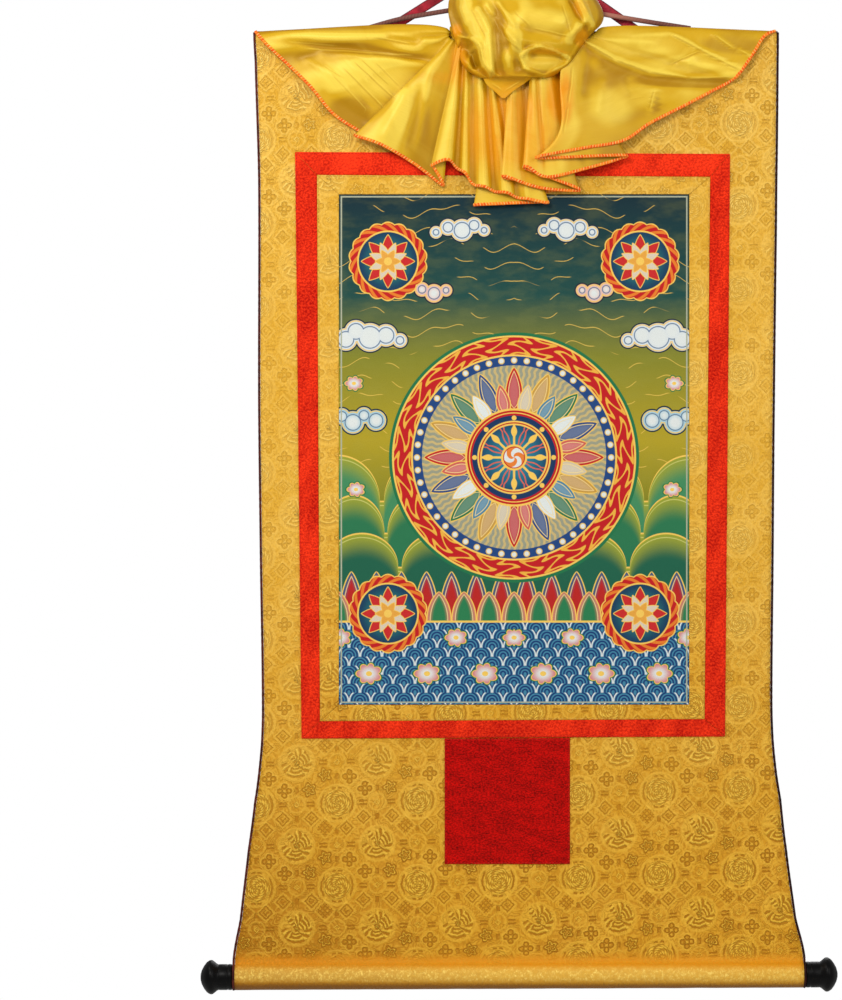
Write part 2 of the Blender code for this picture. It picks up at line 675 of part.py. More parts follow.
def main():
    clear_scene()
    parts = bpy.data.collections.new("thangka_scroll")
    helpers = bpy.data.collections.new("helpers")
    bpy.context.scene.collection.children.link(parts)
    bpy.context.scene.collection.children.link(helpers)
    finish = {name: material_for(name) for name in COLOURS}
    build_mount(finish["gold_brocade"], parts)
    build_piping("piping_left", 0, finish["dark_piping"], parts)
    build_piping("piping_right", 1, finish["dark_piping"], parts)
    build_frame("red_frame", FRAME_OUTER, FRAME_INNER, finish["red_damask"], parts)
    build_frame("gold_border", FRAME_INNER, PICTURE, finish["gold_brocade"], parts)
    patch("picture_panel", PICTURE, *PICTURE_STEPS, finish["printed_cloth"], parts)
    patch("door", DOOR, *DOOR_STEPS, finish["deep_red_damask"], parts)
    build_lath(finish["dark_wood"], parts)
    build_stick(finish["plain_wood"], parts)
    build_knob("knob_left", -1, finish["black_lacquer"], parts)
    build_knob("knob_right", 1, finish["black_lacquer"], parts)
    build_veil(finish["yellow_satin"], parts, helpers)
    build_cord(finish["brown_cord"], parts)
    build_ribbon(finish["crimson_ribbon"], parts)


main()
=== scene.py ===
import math
from collections import namedtuple

import bpy
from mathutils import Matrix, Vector, noise


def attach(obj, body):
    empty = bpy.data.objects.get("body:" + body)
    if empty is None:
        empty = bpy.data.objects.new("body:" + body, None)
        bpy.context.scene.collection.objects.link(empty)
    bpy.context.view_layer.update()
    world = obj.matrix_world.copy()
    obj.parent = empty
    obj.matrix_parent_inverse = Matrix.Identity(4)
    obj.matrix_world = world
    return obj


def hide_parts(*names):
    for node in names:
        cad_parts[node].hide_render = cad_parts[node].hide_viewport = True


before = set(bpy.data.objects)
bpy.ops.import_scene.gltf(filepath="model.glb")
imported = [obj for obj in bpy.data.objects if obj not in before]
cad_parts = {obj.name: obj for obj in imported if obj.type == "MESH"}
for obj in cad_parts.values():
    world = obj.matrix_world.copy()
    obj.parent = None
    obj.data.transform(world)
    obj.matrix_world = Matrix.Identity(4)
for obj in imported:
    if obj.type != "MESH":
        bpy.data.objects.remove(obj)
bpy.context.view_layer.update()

mm = 0.001
planeInFront = 16.0  # the cloth's plane stands this far in front of the hanging point


def smooth(value):
    value = min(max(value, 0.0), 1.0)
    return value * value * (3 - 2 * value)


def spline(values, t):  # a smooth curve through evenly spaced values
    index = min(int(t), len(values) - 2)
    part = t - index
    before = values[max(index - 1, 0)]
    start, end = values[index], values[index + 1]
    after = values[min(index + 2, len(values) - 1)]
    turn = 2 * part ** 3 - 3 * part ** 2
    return (
        start * (turn + 1)
        + (end - before) / 2 * (part ** 3 - 2 * part ** 2 + part)
        - end * turn
        + (after - start) / 2 * (part ** 3 - part ** 2)
    )


def table(columns, rows):  # rows of numbers with named columns
    kind = namedtuple("Row", columns)
    return [kind(*row) for row in rows]


def splineRow(rows, t):
    return type(rows[0])(*(spline(column, t) for column in zip(*rows)))


def place(x, drop, forward):  # millimetres right, down and forward to the scene's metres
    return Vector((x, -planeInFront - forward, -drop)) * mm


def grain(x, y, scale, seed=0.0):  # soft noise between -1 and 1, with lumps about scale wide
    return noise.noise(Vector((x / scale, y / scale, seed)))


# camera and light
# the photograph's middle in millimetres, how far off the camera stands and how much it sees
view = {"across": -97.5, "drop": 551.0, "distance": 4.0, "tall": 1.0, "film": 36, "farthest": 50}


def makeCamera():
    data = bpy.data.cameras.new("camera")
    data.sensor_fit = "VERTICAL"
    data.sensor_height = view["film"]
    data.lens = view["film"] * view["distance"] / view["tall"]
    data.clip_end = view["farthest"]
    camera = bpy.data.objects.new("camera", data)
    bpy.context.scene.collection.objects.link(camera)
    camera.location = place(view["across"], view["drop"], 0) - Vector((0, view["distance"], 0))
    camera.rotation_euler = (math.pi / 2, 0, 0)
    bpy.context.scene.camera = camera


lamps = {
    "keyLeft": {"at": (-0.80, -2.05, 0.55), "size": 0.7, "power": 30, "colour": (1.0, 0.98, 0.95)},
    "fillRight": {"at": (1.5, -2.0, 0.25), "size": 1.4, "power": 22, "colour": (1.0, 0.99, 0.97)},
    "rake": {"at": (-1.15, -0.42, 0.35), "size": 0.3, "power": 5, "colour": (1.0, 0.97, 0.9)},
    "behind": {"at": (0.3, 1.8, 0.4), "size": 1.2, "power": 10, "colour": (1.0, 1.0, 1.0)},
}


studio = {"aimDrop": 420, "air": 0.42, "background": 1.0, "floorDrop": 1.62, "floorRadius": 1.6}


def makeLight():
    target = place(0, studio["aimDrop"], 0)
    for name, lamp in lamps.items():
        data = bpy.data.lights.new(name, "AREA")
        data.size = lamp["size"]
        data.energy = lamp["power"]
        data.color = lamp["colour"]
        light = bpy.data.objects.new(name, data)
        bpy.context.scene.collection.objects.link(light)
        light.location = lamp["at"]
        light.rotation_euler = (target - light.location).to_track_quat("-Z", "Y").to_euler()
    world = bpy.data.worlds.new("studio")
    bpy.context.scene.world = world
    world.use_nodes = True
    tree = world.node_tree
    tree.nodes.clear()
    out = tree.nodes.new("ShaderNodeOutputWorld")
    lit = tree.nodes.new("ShaderNodeBackground")
    seen = tree.nodes.new("ShaderNodeBackground")
    for back, strength in ((lit, studio["air"]), (seen, studio["background"])):
        back.inputs["Strength"].default_value = strength
        back.inputs["Color"].default_value = (1, 1, 1, 1)
    ray = tree.nodes.new("ShaderNodeLightPath")
    pick = tree.nodes.new("ShaderNodeMixShader")
    tree.links.new(ray.outputs["Is Camera Ray"], pick.inputs[0])
    tree.links.new(lit.outputs[0], pick.inputs[1])
    tree.links.new(seen.outputs[0], pick.inputs[2])
    tree.links.new(pick.outputs[0], out.inputs["Surface"])
    bpy.context.scene.view_settings.view_transform = "Standard"
    bpy.context.scene.view_settings.look = "None"


makeCamera()
makeLight()
print("camera and light: ready")


# finishes
class Wire:  # one socket that can stand in an expression
    def __init__(self, finish, socket):
        self.finish = finish
        self.socket = socket

    def sum(self, operation, *values):
        inputs = dict(enumerate(values))
        return self.finish.node("ShaderNodeMath", {"operation": operation}, inputs)

    def __add__(self, other):
        return self.sum("ADD", self, other)

    def __radd__(self, other):
        return self.sum("ADD", other, self)

    def __sub__(self, other):
        return self.sum("SUBTRACT", self, other)

    def __rsub__(self, other):
        return self.sum("SUBTRACT", other, self)

    def __mul__(self, other):
        return self.sum("MULTIPLY", self, other)

    def __rmul__(self, other):
        return self.sum("MULTIPLY", other, self)

    def __truediv__(self, other):
        return self.sum("DIVIDE", self, other)

    def __rtruediv__(self, other):
        return self.sum("DIVIDE", other, self)

    def __pow__(self, other):
        return self.sum("POWER", self, other)

    def __neg__(self):
        return self.sum("MULTIPLY", self, -1.0)

    def __abs__(self):
        return self.sum("ABSOLUTE", self)


socketNames = {"colour": "Base Color", "roughness": "Roughness", "specular": "Specular IOR Level",
               "gleam": "Specular Tint", "normal": "Normal"}


class Finish:  # one material, built from expressions
    def __init__(self, name):
        self.material = bpy.data.materials.new(name)
        self.material.use_nodes = True
        self.tree = self.material.node_tree
        self.shader = self.tree.nodes["Principled BSDF"]

    def node(self, kind, settings=None, inputs=None, output=0):
        made = self.tree.nodes.new(kind)
        for key, value in (settings or {}).items():
            if key == "stops":
                ramp = made.color_ramp
                while len(ramp.elements) < len(value):
                    ramp.elements.new(0.5)
                for element, (position, colour) in zip(ramp.elements, value):
                    element.position = position
                    element.color = (*colour, 1)
            elif key == "ramp":
                made.color_ramp.interpolation = value
            else:
                setattr(made, key, value)
        for key, value in (inputs or {}).items():
            self.feed(made.inputs[key], value)
        return Wire(self, made.outputs[output])

    def feed(self, socket, value):
        if isinstance(value, str):
            value = paints[value]
        if isinstance(value, Wire):
            self.tree.links.new(value.socket, socket)
        elif isinstance(value, tuple) and len(value) == 3 and socket.type == "RGBA":
            socket.default_value = (*value, 1)
        else:
            socket.default_value = value

    def set(self, **values):
        for key, value in values.items():
            self.feed(self.shader.inputs[socketNames[key]], value)

    def split(self, vector):
        made = self.tree.nodes.new("ShaderNodeSeparateXYZ")
        self.feed(made.inputs[0], vector)
        return [Wire(self, socket) for socket in made.outputs]

    def cloth(self):  # the piece's own coordinates along its cloth, in millimetres
        u, v = self.split(self.node("ShaderNodeUVMap", {"uv_map": "cloth"}))[:2]
        return u * 1000.0, v * 1000.0

    def spot(self):  # place on the piece, in metres
        return self.node("ShaderNodeTexCoord", {}, {}, 3)

    def point(self, x, y, z=0.0):
        return self.node("ShaderNodeCombineXYZ", {}, {0: x, 1: y, 2: z})

    def speckle(self, vector, scale, detail=2.0, roughness=0.5, distortion=0.0):
        return self.node("ShaderNodeTexNoise", {}, {
            "Vector": vector, "Scale": scale, "Detail": detail,
            "Roughness": roughness, "Distortion": distortion})

    def attribute(self, name):
        return self.node("ShaderNodeAttribute", {"attribute_name": name}, {}, 2)

    def mix(self, factor, first, second):
        inputs = {0: factor, 6: first, 7: second}
        return self.node("ShaderNodeMix", {"data_type": "RGBA"}, inputs, 2)

    def paint(self, mask, colour):  # lay a colour over the running tone
        self.tone = self.mix(mask, self.tone, colour)

    def ramp(self, value, stops, ramp="LINEAR"):
        return self.node("ShaderNodeValToRGB", {"ramp": ramp, "stops": stops}, {0: value})

    def soft(self, value, low, high):  # 0 below low, 1 above high, smooth between
        return self.node("ShaderNodeMapRange", {"interpolation_type": "SMOOTHSTEP"},
                         {0: value, 1: low, 2: high, 3: 0.0, 4: 1.0})

    def below(self, value, edge, blur=0.25):  # 1 where value is under the edge
        return self.node("ShaderNodeMapRange", {"interpolation_type": "LINEAR"},
                         {0: value, 1: edge - blur, 2: edge + blur, 3: 1.0, 4: 0.0})

    def line(self, distance, width, blur=0.25):  # 1 along a line of this half width
        return self.below(abs(distance), width, blur)

    def wrap(self, value, span):
        return value.sum("WRAP", value, span / 2, -span / 2)

    def sine(self, value):
        return value.sum("SINE", value)

    def cosine(self, value):
        return value.sum("COSINE", value)

    def least(self, first, *others):
        for other in others:
            first = first.sum("MINIMUM", first, other)
        return first

    def most(self, first, *others):
        for other in others:
            first = first.sum("MAXIMUM", first, other)
        return first

    def share(self, value):  # held between 0 and 1
        return self.least(self.most(value, 0.0), 1.0)

    def floor(self, value):
        return value.sum("FLOOR", value)

    def radius(self, x, y):
        return (x * x + y * y) ** 0.5

    def angle(self, x, y):
        return x.sum("ARCTAN2", y, x)

    def bump(self, height, depth, strength):
        inputs = {"Height": height, "Distance": depth * mm, "Strength": strength}
        return self.node("ShaderNodeBump", {}, inputs)


brocade = {
    "across": 80.5, "down": 83.2,  # how far apart the roundels stand
    "pale": (0.88, 0.53, 0.085), "ground": (0.72, 0.385, 0.026), "deep": (0.40, 0.155, 0.003),
    # the next three colours are painted light and shade: painted shade towards the foot, painted
    # shade towards the lower left, and a painted glow above the roll
    "amber": (0.60, 0.255, 0.003), "lowerLeftShade": (0.40, 0.155, 0.002), "paintedGlow": (0.78, 0.265, 0.003),
    "line": (0.97, 0.66, 0.15), "lowLine": (0.94, 0.58, 0.055), "relief": 0.8, "threads": 0.62,
    "stray": 2.6, "tilt": 0.0375,  # the weave runs down to the left across the cloth
}
# small woven motifs of one repeat: place from the first roundel, and kind
motifRows = table("x y kind", [
    (-12, 24.5, "lattice"), (28, -14, "knot"), (-25.5, 14.3, "fret"), (9.5, 25, "fret"),
    (-12, -29, "rosette"), (26.5, 14.5, "fret"), (12.5, -26.5, "knot"), (-27.5, -14.5, "rosette"),
])


def brocadeFinish(name, shift):
    f = Finish(name)
    u, v = f.cloth()
    v = v - shift[1] + (u - 140.0) * brocade["tilt"]
    u = u - shift[0]
    # the threads never lie quite straight
    u, v = (u + (f.speckle(f.point(u, v), 0.30, 2.0, 0.6) - 0.5) * brocade["stray"],
            v + (f.speckle(f.point(v, u), 0.30, 2.0, 0.6) - 0.5) * brocade["stray"])
    spanU, spanV = brocade["across"], brocade["down"]

    def cell(x, y):  # coordinates about one motif of the repeat
        return f.wrap(u - x, spanU), f.wrap(v - y, spanV)

    # first roundel: broken whorls, a rim of dashes and a thin ring
    x, y = cell(0.0, 0.0)
    r = f.radius(x, y)
    a = f.angle(x, y)
    jog = f.soft(f.sine(a * 5.0 + r * 0.9), -0.15, 0.15) * math.pi
    whorl = f.sine(r * (2 * math.pi / 3.5) + jog) * f.below(r, 13.2, 0.6)
    dashes = f.line(r - 15.7, 0.85) * f.most(f.soft(abs(x), 12.4, 13.2), f.line(abs(x) - 3.1, 1.9))
    strokes = f.soft(-whorl, 0.15, 0.7) * 0.75 + dashes
    bright = f.soft(whorl, 0.2, 0.75) + f.line(r - 18.6, 0.8, 1.0) * 0.7
    filled = f.below(r, 17.4, 0.8)
    # second roundel: bold leaves that turn from spokes to rings
    x, y = cell(spanU / 2, spanV / 2)
    r = f.radius(x, y)
    a = f.angle(x, y)
    blown = f.speckle(f.point(x, y, 3.0), 0.11, 1.0, 0.4)
    turned = f.soft(f.sine(a * 3.0 + 0.6 + blown * 4.0), -0.12, 0.12)
    spokes = f.sine(a * 13.0 + r * 0.45)
    rings = f.sine(r * 1.55 + blown * 9.0)
    leaves = (spokes + (rings - spokes) * turned) * f.below(r, 15.0, 0.7)
    leaves = leaves * f.soft(blown, 0.36, 0.46)
    strokes = strokes + f.soft(leaves, 0.1, 0.55)
    bright = bright + f.soft(-leaves, 0.35, 0.85) + f.line(r - 17.6, 0.8, 1.0) * 0.6
    filled = filled + f.below(r, 16.6, 0.8)
    # small rings with a lozenge, between bars
    for offset in ((spanU / 2, 0.0), (0.0, spanV / 2)):
        x, y = cell(*offset)
        level = f.line(abs(y) - 1.7, 0.8) * f.line(abs(x) - 14.0, 3.7)
        upright = f.line(x, 1.8) * f.line(abs(y) - 14.2, 2.8)
        strokes = strokes + f.most(level, upright)
        bright = bright + f.line(f.radius(x, y) - 8.2, 0.6, 0.9) * 0.6
        bright = bright + f.line(abs(x) + abs(y) - 2.6, 0.6)
    for motif in motifRows:
        x, y = cell(motif.x, motif.y)
        p = (x + y) * 0.7071
        q = (x - y) * 0.7071
        reach = f.most(abs(p), abs(q))
        if motif.kind == "lattice":
            inside = f.below(reach, 6.2)
            bars = f.most(f.line(f.wrap(p, 3.6), 0.5), f.line(f.wrap(q, 3.6), 0.5))
            strokes = strokes + inside * bars * 0.85
            bright = bright + f.line(reach - 7.3, 0.6, 0.8) * 0.6
        elif motif.kind == "fret":
            turn = f.most(f.line(reach - 4.5, 0.5),
                          f.line(p - 1.1, 0.5) * f.below(abs(q), 2.6),
                          f.line(q + 1.5, 0.5) * f.below(abs(p), 2.6),
                          f.line(p + 2.3, 0.5) * f.below(abs(q), 1.6))
            strokes = strokes + turn * 0.75
            bright = bright + f.line(reach - 6.2, 0.6, 0.8) * 0.7
            bright = bright + f.line(reach - 3.2, 0.5, 0.5) * 0.3
        elif motif.kind == "knot":
            loop = f.radius(abs(p) - 3.1, abs(q) - 3.1)
            strokes = strokes + f.line(loop - 2.3, 0.65)
            bright = bright + f.line(loop - 4.0, 0.6, 0.8) * 0.8
            bright = bright + f.line(reach - 8.6, 0.5, 0.6) * 0.35
        else:
            petal = f.radius(x, y) + 1.3 * f.cosine(f.angle(x, y) * 5.0)
            strokes = strokes + f.most(f.line(petal - 6.0, 0.7), f.line(petal - 2.6, 0.7))
            bright = bright + f.line(petal - 4.3, 0.5)
    # faint scrolls fill the ground between the motifs
    scroll = f.sine(f.speckle(f.point(u, v), 0.085, 1.0, 0.4, 0.5) * 52.0)
    scroll = scroll * (1.0 - f.least(strokes + bright, 1.0))
    strokes = strokes + f.soft(-scroll, 0.25, 0.9) * 0.34
    bright = bright + f.soft(scroll, 0.25, 0.9) * 0.30
    # the weave shows more towards the foot and at the head than along the sides
    drop = f.split(f.spot())[2] * -1000.0
    cloud = f.speckle(f.point(u, v), 0.013, 3.0, 0.6)
    low = f.soft(v, 420.0, 880.0)
    seen = 0.62 + low * 0.4 + f.soft(v, 260.0, 120.0) * 0.35 + (cloud - 0.5) * 0.8
    # the weave shows less under the painted glow and painted highlight of the roll
    seen = seen * (1.0 - f.soft(drop, 1003.0, 1013.0) * 0.8)
    pile = f.speckle(f.point(u, v * 0.55), 0.62, 2.0, 0.7)
    strokes = f.least(strokes, 1.0) * seen * (0.7 + pile * 0.6)
    bright = f.least(bright, 1.0) * seen * (0.4 + pile * 0.95)
    fleck = f.soft(pile, 0.36, 0.68)
    thread = 2 * math.pi / brocade["threads"]
    weave = f.sine(u * thread) * f.sine(v * thread)
    f.tone = f.mix(f.soft(cloud, 0.3, 0.72) * 0.5, brocade["ground"], brocade["pale"])
    # painted shade: the brocade turns a deeper amber towards the foot
    f.paint(low * 0.7, brocade["amber"])
    # painted shade, deeper towards the lower left corner
    f.paint(f.soft(v - u * 0.9, 880.0, 1150.0) * 0.85, brocade["lowerLeftShade"])
    f.paint(fleck * 0.36, brocade["deep"])
    # the pale lines turn deeper towards the foot too, with the same painted shade
    line = f.mix(low, brocade["line"], brocade["lowLine"])
    f.paint(filled * seen * 0.26, line)
    f.paint(strokes * (0.32 + low * 0.60), brocade["deep"])
    f.paint(bright * (0.75 - low * 0.1), line)
    # the roll at the foot, in painted light and shade: a painted warm glow in the hollow above it,
    # a painted highlight with glints on its crown, painted shade on its underside and a painted
    # dark shadow line at its foot
    f.paint(f.soft(drop, 1001.0, 1013.0) * f.soft(drop, 1024.0, 1014.0) * (0.3 + fleck * 0.45),
            brocade["paintedGlow"])
    crown = f.soft(drop, 1014.0, 1021.0) * f.soft(drop, 1034.0, 1029.0)
    paintedGlints = f.soft(f.speckle(f.point(u, v), 0.23, 3.0, 0.75), 0.42, 0.62)
    f.paint(crown * (0.25 + fleck * paintedGlints * 0.75), (0.95, 0.66, 0.14))
    f.paint(f.soft(drop + pile * 4.0, 1027.0, 1034.0) * 0.3, brocade["deep"])
    f.paint(f.soft(drop + pile * 4.0, 1033.0, 1038.5) * 0.85, (0.20, 0.075, 0.006))
    height = bright * 0.8 + pile * 0.55 + weave * 0.06 - strokes * 0.75
    f.set(colour=f.tone, roughness=0.48 + strokes * 0.15 - bright * 0.12, specular=0.15,
          normal=f.bump(height, brocade["relief"], 1.0))
    return f.material


damask = {
    "red_damask": {"ground": (0.36, 0.002, 0.0004), "light": (0.94, 0.040, 0.007),
                   "streak": 0.35, "spread": 0.62},
    "deep_red_damask": {"ground": (0.15, 0.0008, 0.0002), "light": (0.64, 0.003, 0.001),
                        "streak": 2.2, "spread": 0.7},
}


def damaskFinish(slot):
    kind = damask[slot]
    f = Finish(slot + "Cloth")
    u, v = f.cloth()
    fleck = f.speckle(f.point(u, v * (1 + kind["streak"] * 0.25)), 0.45, 3.0, 0.72)
    drift = f.speckle(f.point(u + v * 0.35, v * kind["streak"]), 0.045, 3.0, 0.6)
    weave = f.sine(u * 9.5) * f.sine(v * 9.5)
    share = (f.soft(fleck, 0.38, 0.62) * kind["spread"]
             + f.soft(drift, 0.35, 0.7) * (1 - kind["spread"]))
    # the strip at the head is lit more strongly than the rest
    share = share + f.soft(v, 240.0, 200.0) * f.soft(v, 100.0, 150.0) * 0.25
    f.set(colour=f.mix(f.least(share, 1.0), kind["ground"], kind["light"]),
          roughness=0.7 - share * 0.12, specular=0.06,
          normal=f.bump(fleck + weave * 0.15, 0.4, 0.6))
    return f.material


creaseLayers = "01"  # creases that lie close together are kept in two layers
# the satin's own colour is body; light, warm and shade are painted highlight, painted glow bounced
# in the folds and painted shade
satin = {
    "light": (0.80, 0.575, 0.065), "body": (0.58, 0.33, 0.006), "warm": (0.72, 0.25, 0.001),
    "shade": (0.38, 0.185, 0.002), "gleam": (1.0, 0.86, 0.42),
}


def satinFinish():
    f = Finish("yellowSatin")
    u, v = f.cloth()
    fold = f.attribute("fold")  # 0 deep in a fold, 0.5 flat, 1 on a ridge
    panel = f.attribute("panel")  # how pale the open cloth is, or how warm where it is under 0
    slub = f.speckle(f.point(u * 0.25, v * 2.2), 0.5, 2.0, 0.6)
    creased = f.speckle(f.point(u, v), 0.035, 3.0, 0.55, 0.6)
    # painted shade deep in the folds, from how far the cloth stands back there
    f.tone = f.mix(f.soft(fold, 0.05, 0.46), satin["shade"], satin["body"])
    # painted warm glow of light bounced between the folds
    f.paint(f.share(panel * -1.0), satin["warm"])
    # painted highlight on the ridges and the open panels, with paler crumples at random
    pale = f.soft(fold, 0.5, 0.84) * 0.8 + panel * 0.7 + (creased - 0.5) * 0.7
    f.paint(f.share(pale), satin["light"])
    f.paint(f.soft(slub, 0.45, 0.8) * 0.12, satin["shade"])
    # sharp creases: a painted highlight line above the fold line and a painted shade line below it
    lit = dark = 0.0
    for layer in creaseLayers:
        away = f.attribute("crease" + layer) + (creased - 0.5) * 2.0
        strong = f.attribute("sharp" + layer)
        lit = lit + f.soft(abs(away - 0.5), 1.0, 0.0) * strong
        dark = dark + f.soft(abs(away + 1.0), 1.3, 0.0) * strong
    f.paint(f.least(dark, 1.0) * 0.5, satin["shade"])
    f.paint(f.least(lit, 1.0) * 0.6, satin["light"])
    f.set(colour=f.tone, roughness=0.35 + slub * 0.08, specular=0.42,
          gleam=satin["gleam"],
          normal=f.bump(slub * 0.25 + creased * 1.8 + lit * 0.5 - dark * 0.4, 0.6, 0.55))
    return f.material


def threadFinish(name, dark, light, pitch):
    f = Finish(name)
    spot = f.spot()
    strand = f.speckle(spot, 900.0, 2.0, 0.6)
    patch = f.speckle(spot, pitch, 1.0, 0.5)
    share = f.soft(patch, 0.36, 0.66) * 0.7 + strand * 0.3
    f.set(colour=f.mix(share, dark, light), roughness=0.6 + strand * 0.15, specular=0.1,
          normal=f.bump(strand, 0.15, 0.6))
    return f.material


def woodFinish(name, dark, light, gloss):
    f = Finish(name)
    x, y, z = f.split(f.spot())
    ring = f.speckle(f.point(x * 2.0, y * 60.0, z * 60.0), 3.0, 4.0, 0.6, 0.4)
    pore = f.speckle(f.point(x * 12.0, y * 700.0, z * 700.0), 2.0, 2.0, 0.5)
    share = f.soft(ring, 0.3, 0.7)
    f.set(colour=f.mix(share, dark, light), roughness=gloss + pore * 0.2, specular=0.4,
          normal=f.bump(pore + ring, 0.2, 0.5))
    return f.material


def lacquerFinish():
    f = Finish("blackLacquer")
    spot = f.spot()
    haze = f.speckle(spot, 60.0, 3.0, 0.6)
    nick = f.speckle(spot, 420.0, 2.0, 0.7)
    wearAndHighlight = f.soft(nick, 0.62, 0.8) * 0.35
    f.set(colour=f.mix(wearAndHighlight, (0.0015, 0.0014, 0.0014), (0.012, 0.011, 0.010)),
          roughness=0.26 + haze * 0.22, specular=0.10,
          normal=f.bump(haze, 0.12, 0.5))
    return f.material


def cordFinish():
    f = Finish("brownCord")
    u, v = f.cloth()
    twist = f.sine(v * 1.9 + u * 2 * math.pi * 2.0)
    hair = f.speckle(f.point(u * 30.0, v), 1.2, 2.0, 0.6)
    share = f.soft(twist, -0.9, 0.6) * 0.2 + hair * 0.6
    tone = f.mix(share, (0.07, 0.024, 0.020), (0.28, 0.11, 0.085))
    # painted highlight: the side next to the gather at the right is paler
    wearAndHighlight = f.soft(v, 225.0, 238.0) * f.soft(v, 300.0, 245.0)
    f.set(colour=f.mix(wearAndHighlight * 0.6, tone, (0.55, 0.22, 0.15)), roughness=0.7,
          specular=0.15, normal=f.bump(hair, 0.3, 0.6))
    return f.material


def ribbonFinish():
    f = Finish("crimsonRibbon")
    u, v = f.cloth()
    rib = f.sine(v * 2 * math.pi / 0.9)
    edge = f.soft(abs(u), 3.3, 4.4)
    drift = f.speckle(f.point(u, v), 0.08, 2.0, 0.5)
    tone = f.mix(f.soft(drift, 0.3, 0.7), (0.22, 0.003, 0.012), (0.47, 0.012, 0.03))
    f.set(colour=f.mix(edge * 0.8, tone, (0.05, 0.002, 0.006)), roughness=0.42, specular=0.25,
          normal=f.bump(rib * 0.5 + edge, 0.25, 0.7))
    return f.material


# the picture: a generic design of sky, hills, water, clouds and a wheel, in millimetres
picture = {
    "halfWide": 175, "halfTall": 255, "breezePitch": 17, "shore": -172, "scaleTall": 9,
    "scaleWide": 22, "petalWide": 25, "roundelAcross": 126, "roundelUp": 176,
    "roundelMiddle": 12, "roundelOut": 37, "roundelIn": 30, "wheelDrop": -8, "wheelOut": 121,
    "bandWide": 19, "beads": 48, "beadIn": 24, "fieldIn": 29, "hub": 48, "spokes": 8, "tyre": 34.5,
}
paints = {
    "gold": (0.86, 0.55, 0.10), "paleGold": (0.80, 0.62, 0.30), "veinGold": (0.85, 0.66, 0.28),
    "red": (0.50, 0.008, 0.012), "orange": (0.75, 0.20, 0.02), "amber": (0.80, 0.42, 0.05),
    "blue": (0.012, 0.055, 0.20), "green": (0.012, 0.16, 0.06), "pink": (0.62, 0.20, 0.20),
    "white": (0.70, 0.74, 0.72), "ink": (0.012, 0.02, 0.03), "black": (0.0, 0.0, 0.0),
    "haze": (0.30, 0.30, 0.06), "meadow": (0.30, 0.33, 0.03), "sprout": (0.55, 0.55, 0.15),
    "water": (0.006, 0.04, 0.15), "foam": (0.05, 0.22, 0.34), "shadow": (0.08, 0.16, 0.28),
}
skyStops = [
    (0.0, (0.006, 0.05, 0.04)), (0.20, (0.012, 0.09, 0.03)), (0.34, (0.12, 0.16, 0.012)),
    (0.52, (0.42, 0.32, 0.015)), (0.68, (0.22, 0.22, 0.02)), (0.80, (0.010, 0.065, 0.055)),
    (1.0, (0.003, 0.022, 0.034)),
]
hillRows = table("base span tall shift colour", [
    (-52, 88, 46, 0, (0.05, 0.24, 0.10)), (-84, 64, 38, 32, (0.02, 0.17, 0.07)),
    (-118, 76, 34, 0, (0.010, 0.11, 0.06)),
])
uprightRows = table("tall shift middle edge", [
    (50, 12.5, (0.46, 0.015, 0.012), (0.02, 0.10, 0.20)),
    (30, 0, (0.02, 0.19, 0.07), (0.60, 0.20, 0.14)),
])
# each cloud bank: its colour, then its puffs as place and size
clouds = [
    ((0.62, 0.68, 0.72), ((158, 118, 12), (144, 112, 15), (128, 114, 12), (114, 109, 8),
                          (168, 110, 12))),
    ((0.30, 0.52, 0.62), ((150, 34, 9), (138, 29, 11), (161, 27, 12), (172, 33, 9))),
    ((0.60, 0.66, 0.70), ((40, 224, 9), (52, 219, 12), (66, 222, 9), (78, 217, 7), (30, 219, 7))),
    ((0.72, 0.42, 0.36), ((92, 160, 8), (80, 156, 10), (68, 159, 7))),
]
blossomRows = table("span shift height size", [
    (58, 0, -188, 11), (58, 29, -224, 13), (350, 160, 66, 9), (350, 158, -40, 9),
])
roundelPetals = table("count turned outer wide colour", [
    (8, 0, 27, 8, (0.55, 0.02, 0.02)), (8, 0.5, 20, 5.5, (0.66, 0.56, 0.42)),
    (6, 0, 13, 4.6, (0.75, 0.35, 0.05)),
])
wheelPetals = table("count turned inner outer wide colours", [
    (16, 0, 48, 90, 8.6, (paints["red"], paints["blue"], paints["green"], (0.55, 0.30, 0.05))),
    (16, 0.5, 44, 74, 7, ((0.62, 0.52, 0.36), (0.60, 0.10, 0.08), paints["white"],
                          (0.06, 0.22, 0.34))),
])


def paintSky(f, x, y, side):
    f.tone = f.ramp((y + picture["halfTall"]) / (2 * picture["halfTall"]), skyStops)
    wash = f.speckle(f.point(x, y * 2.0), 0.03, 3.0, 0.6)
    f.paint(f.soft(wash, 0.4, 0.7) * 0.12, "haze")
    # fine gold breezes
    breeze = f.wrap(y + 5.0 * f.sine(side * 0.075) + 2.0 * f.sine(side * 0.21 + y * 0.05),
                    picture["breezePitch"])
    broken = f.soft(f.sine(side * 0.11 + y * 0.31), -0.2, 0.3)
    f.paint(f.line(breeze, 0.35) * broken * 0.75, "gold")


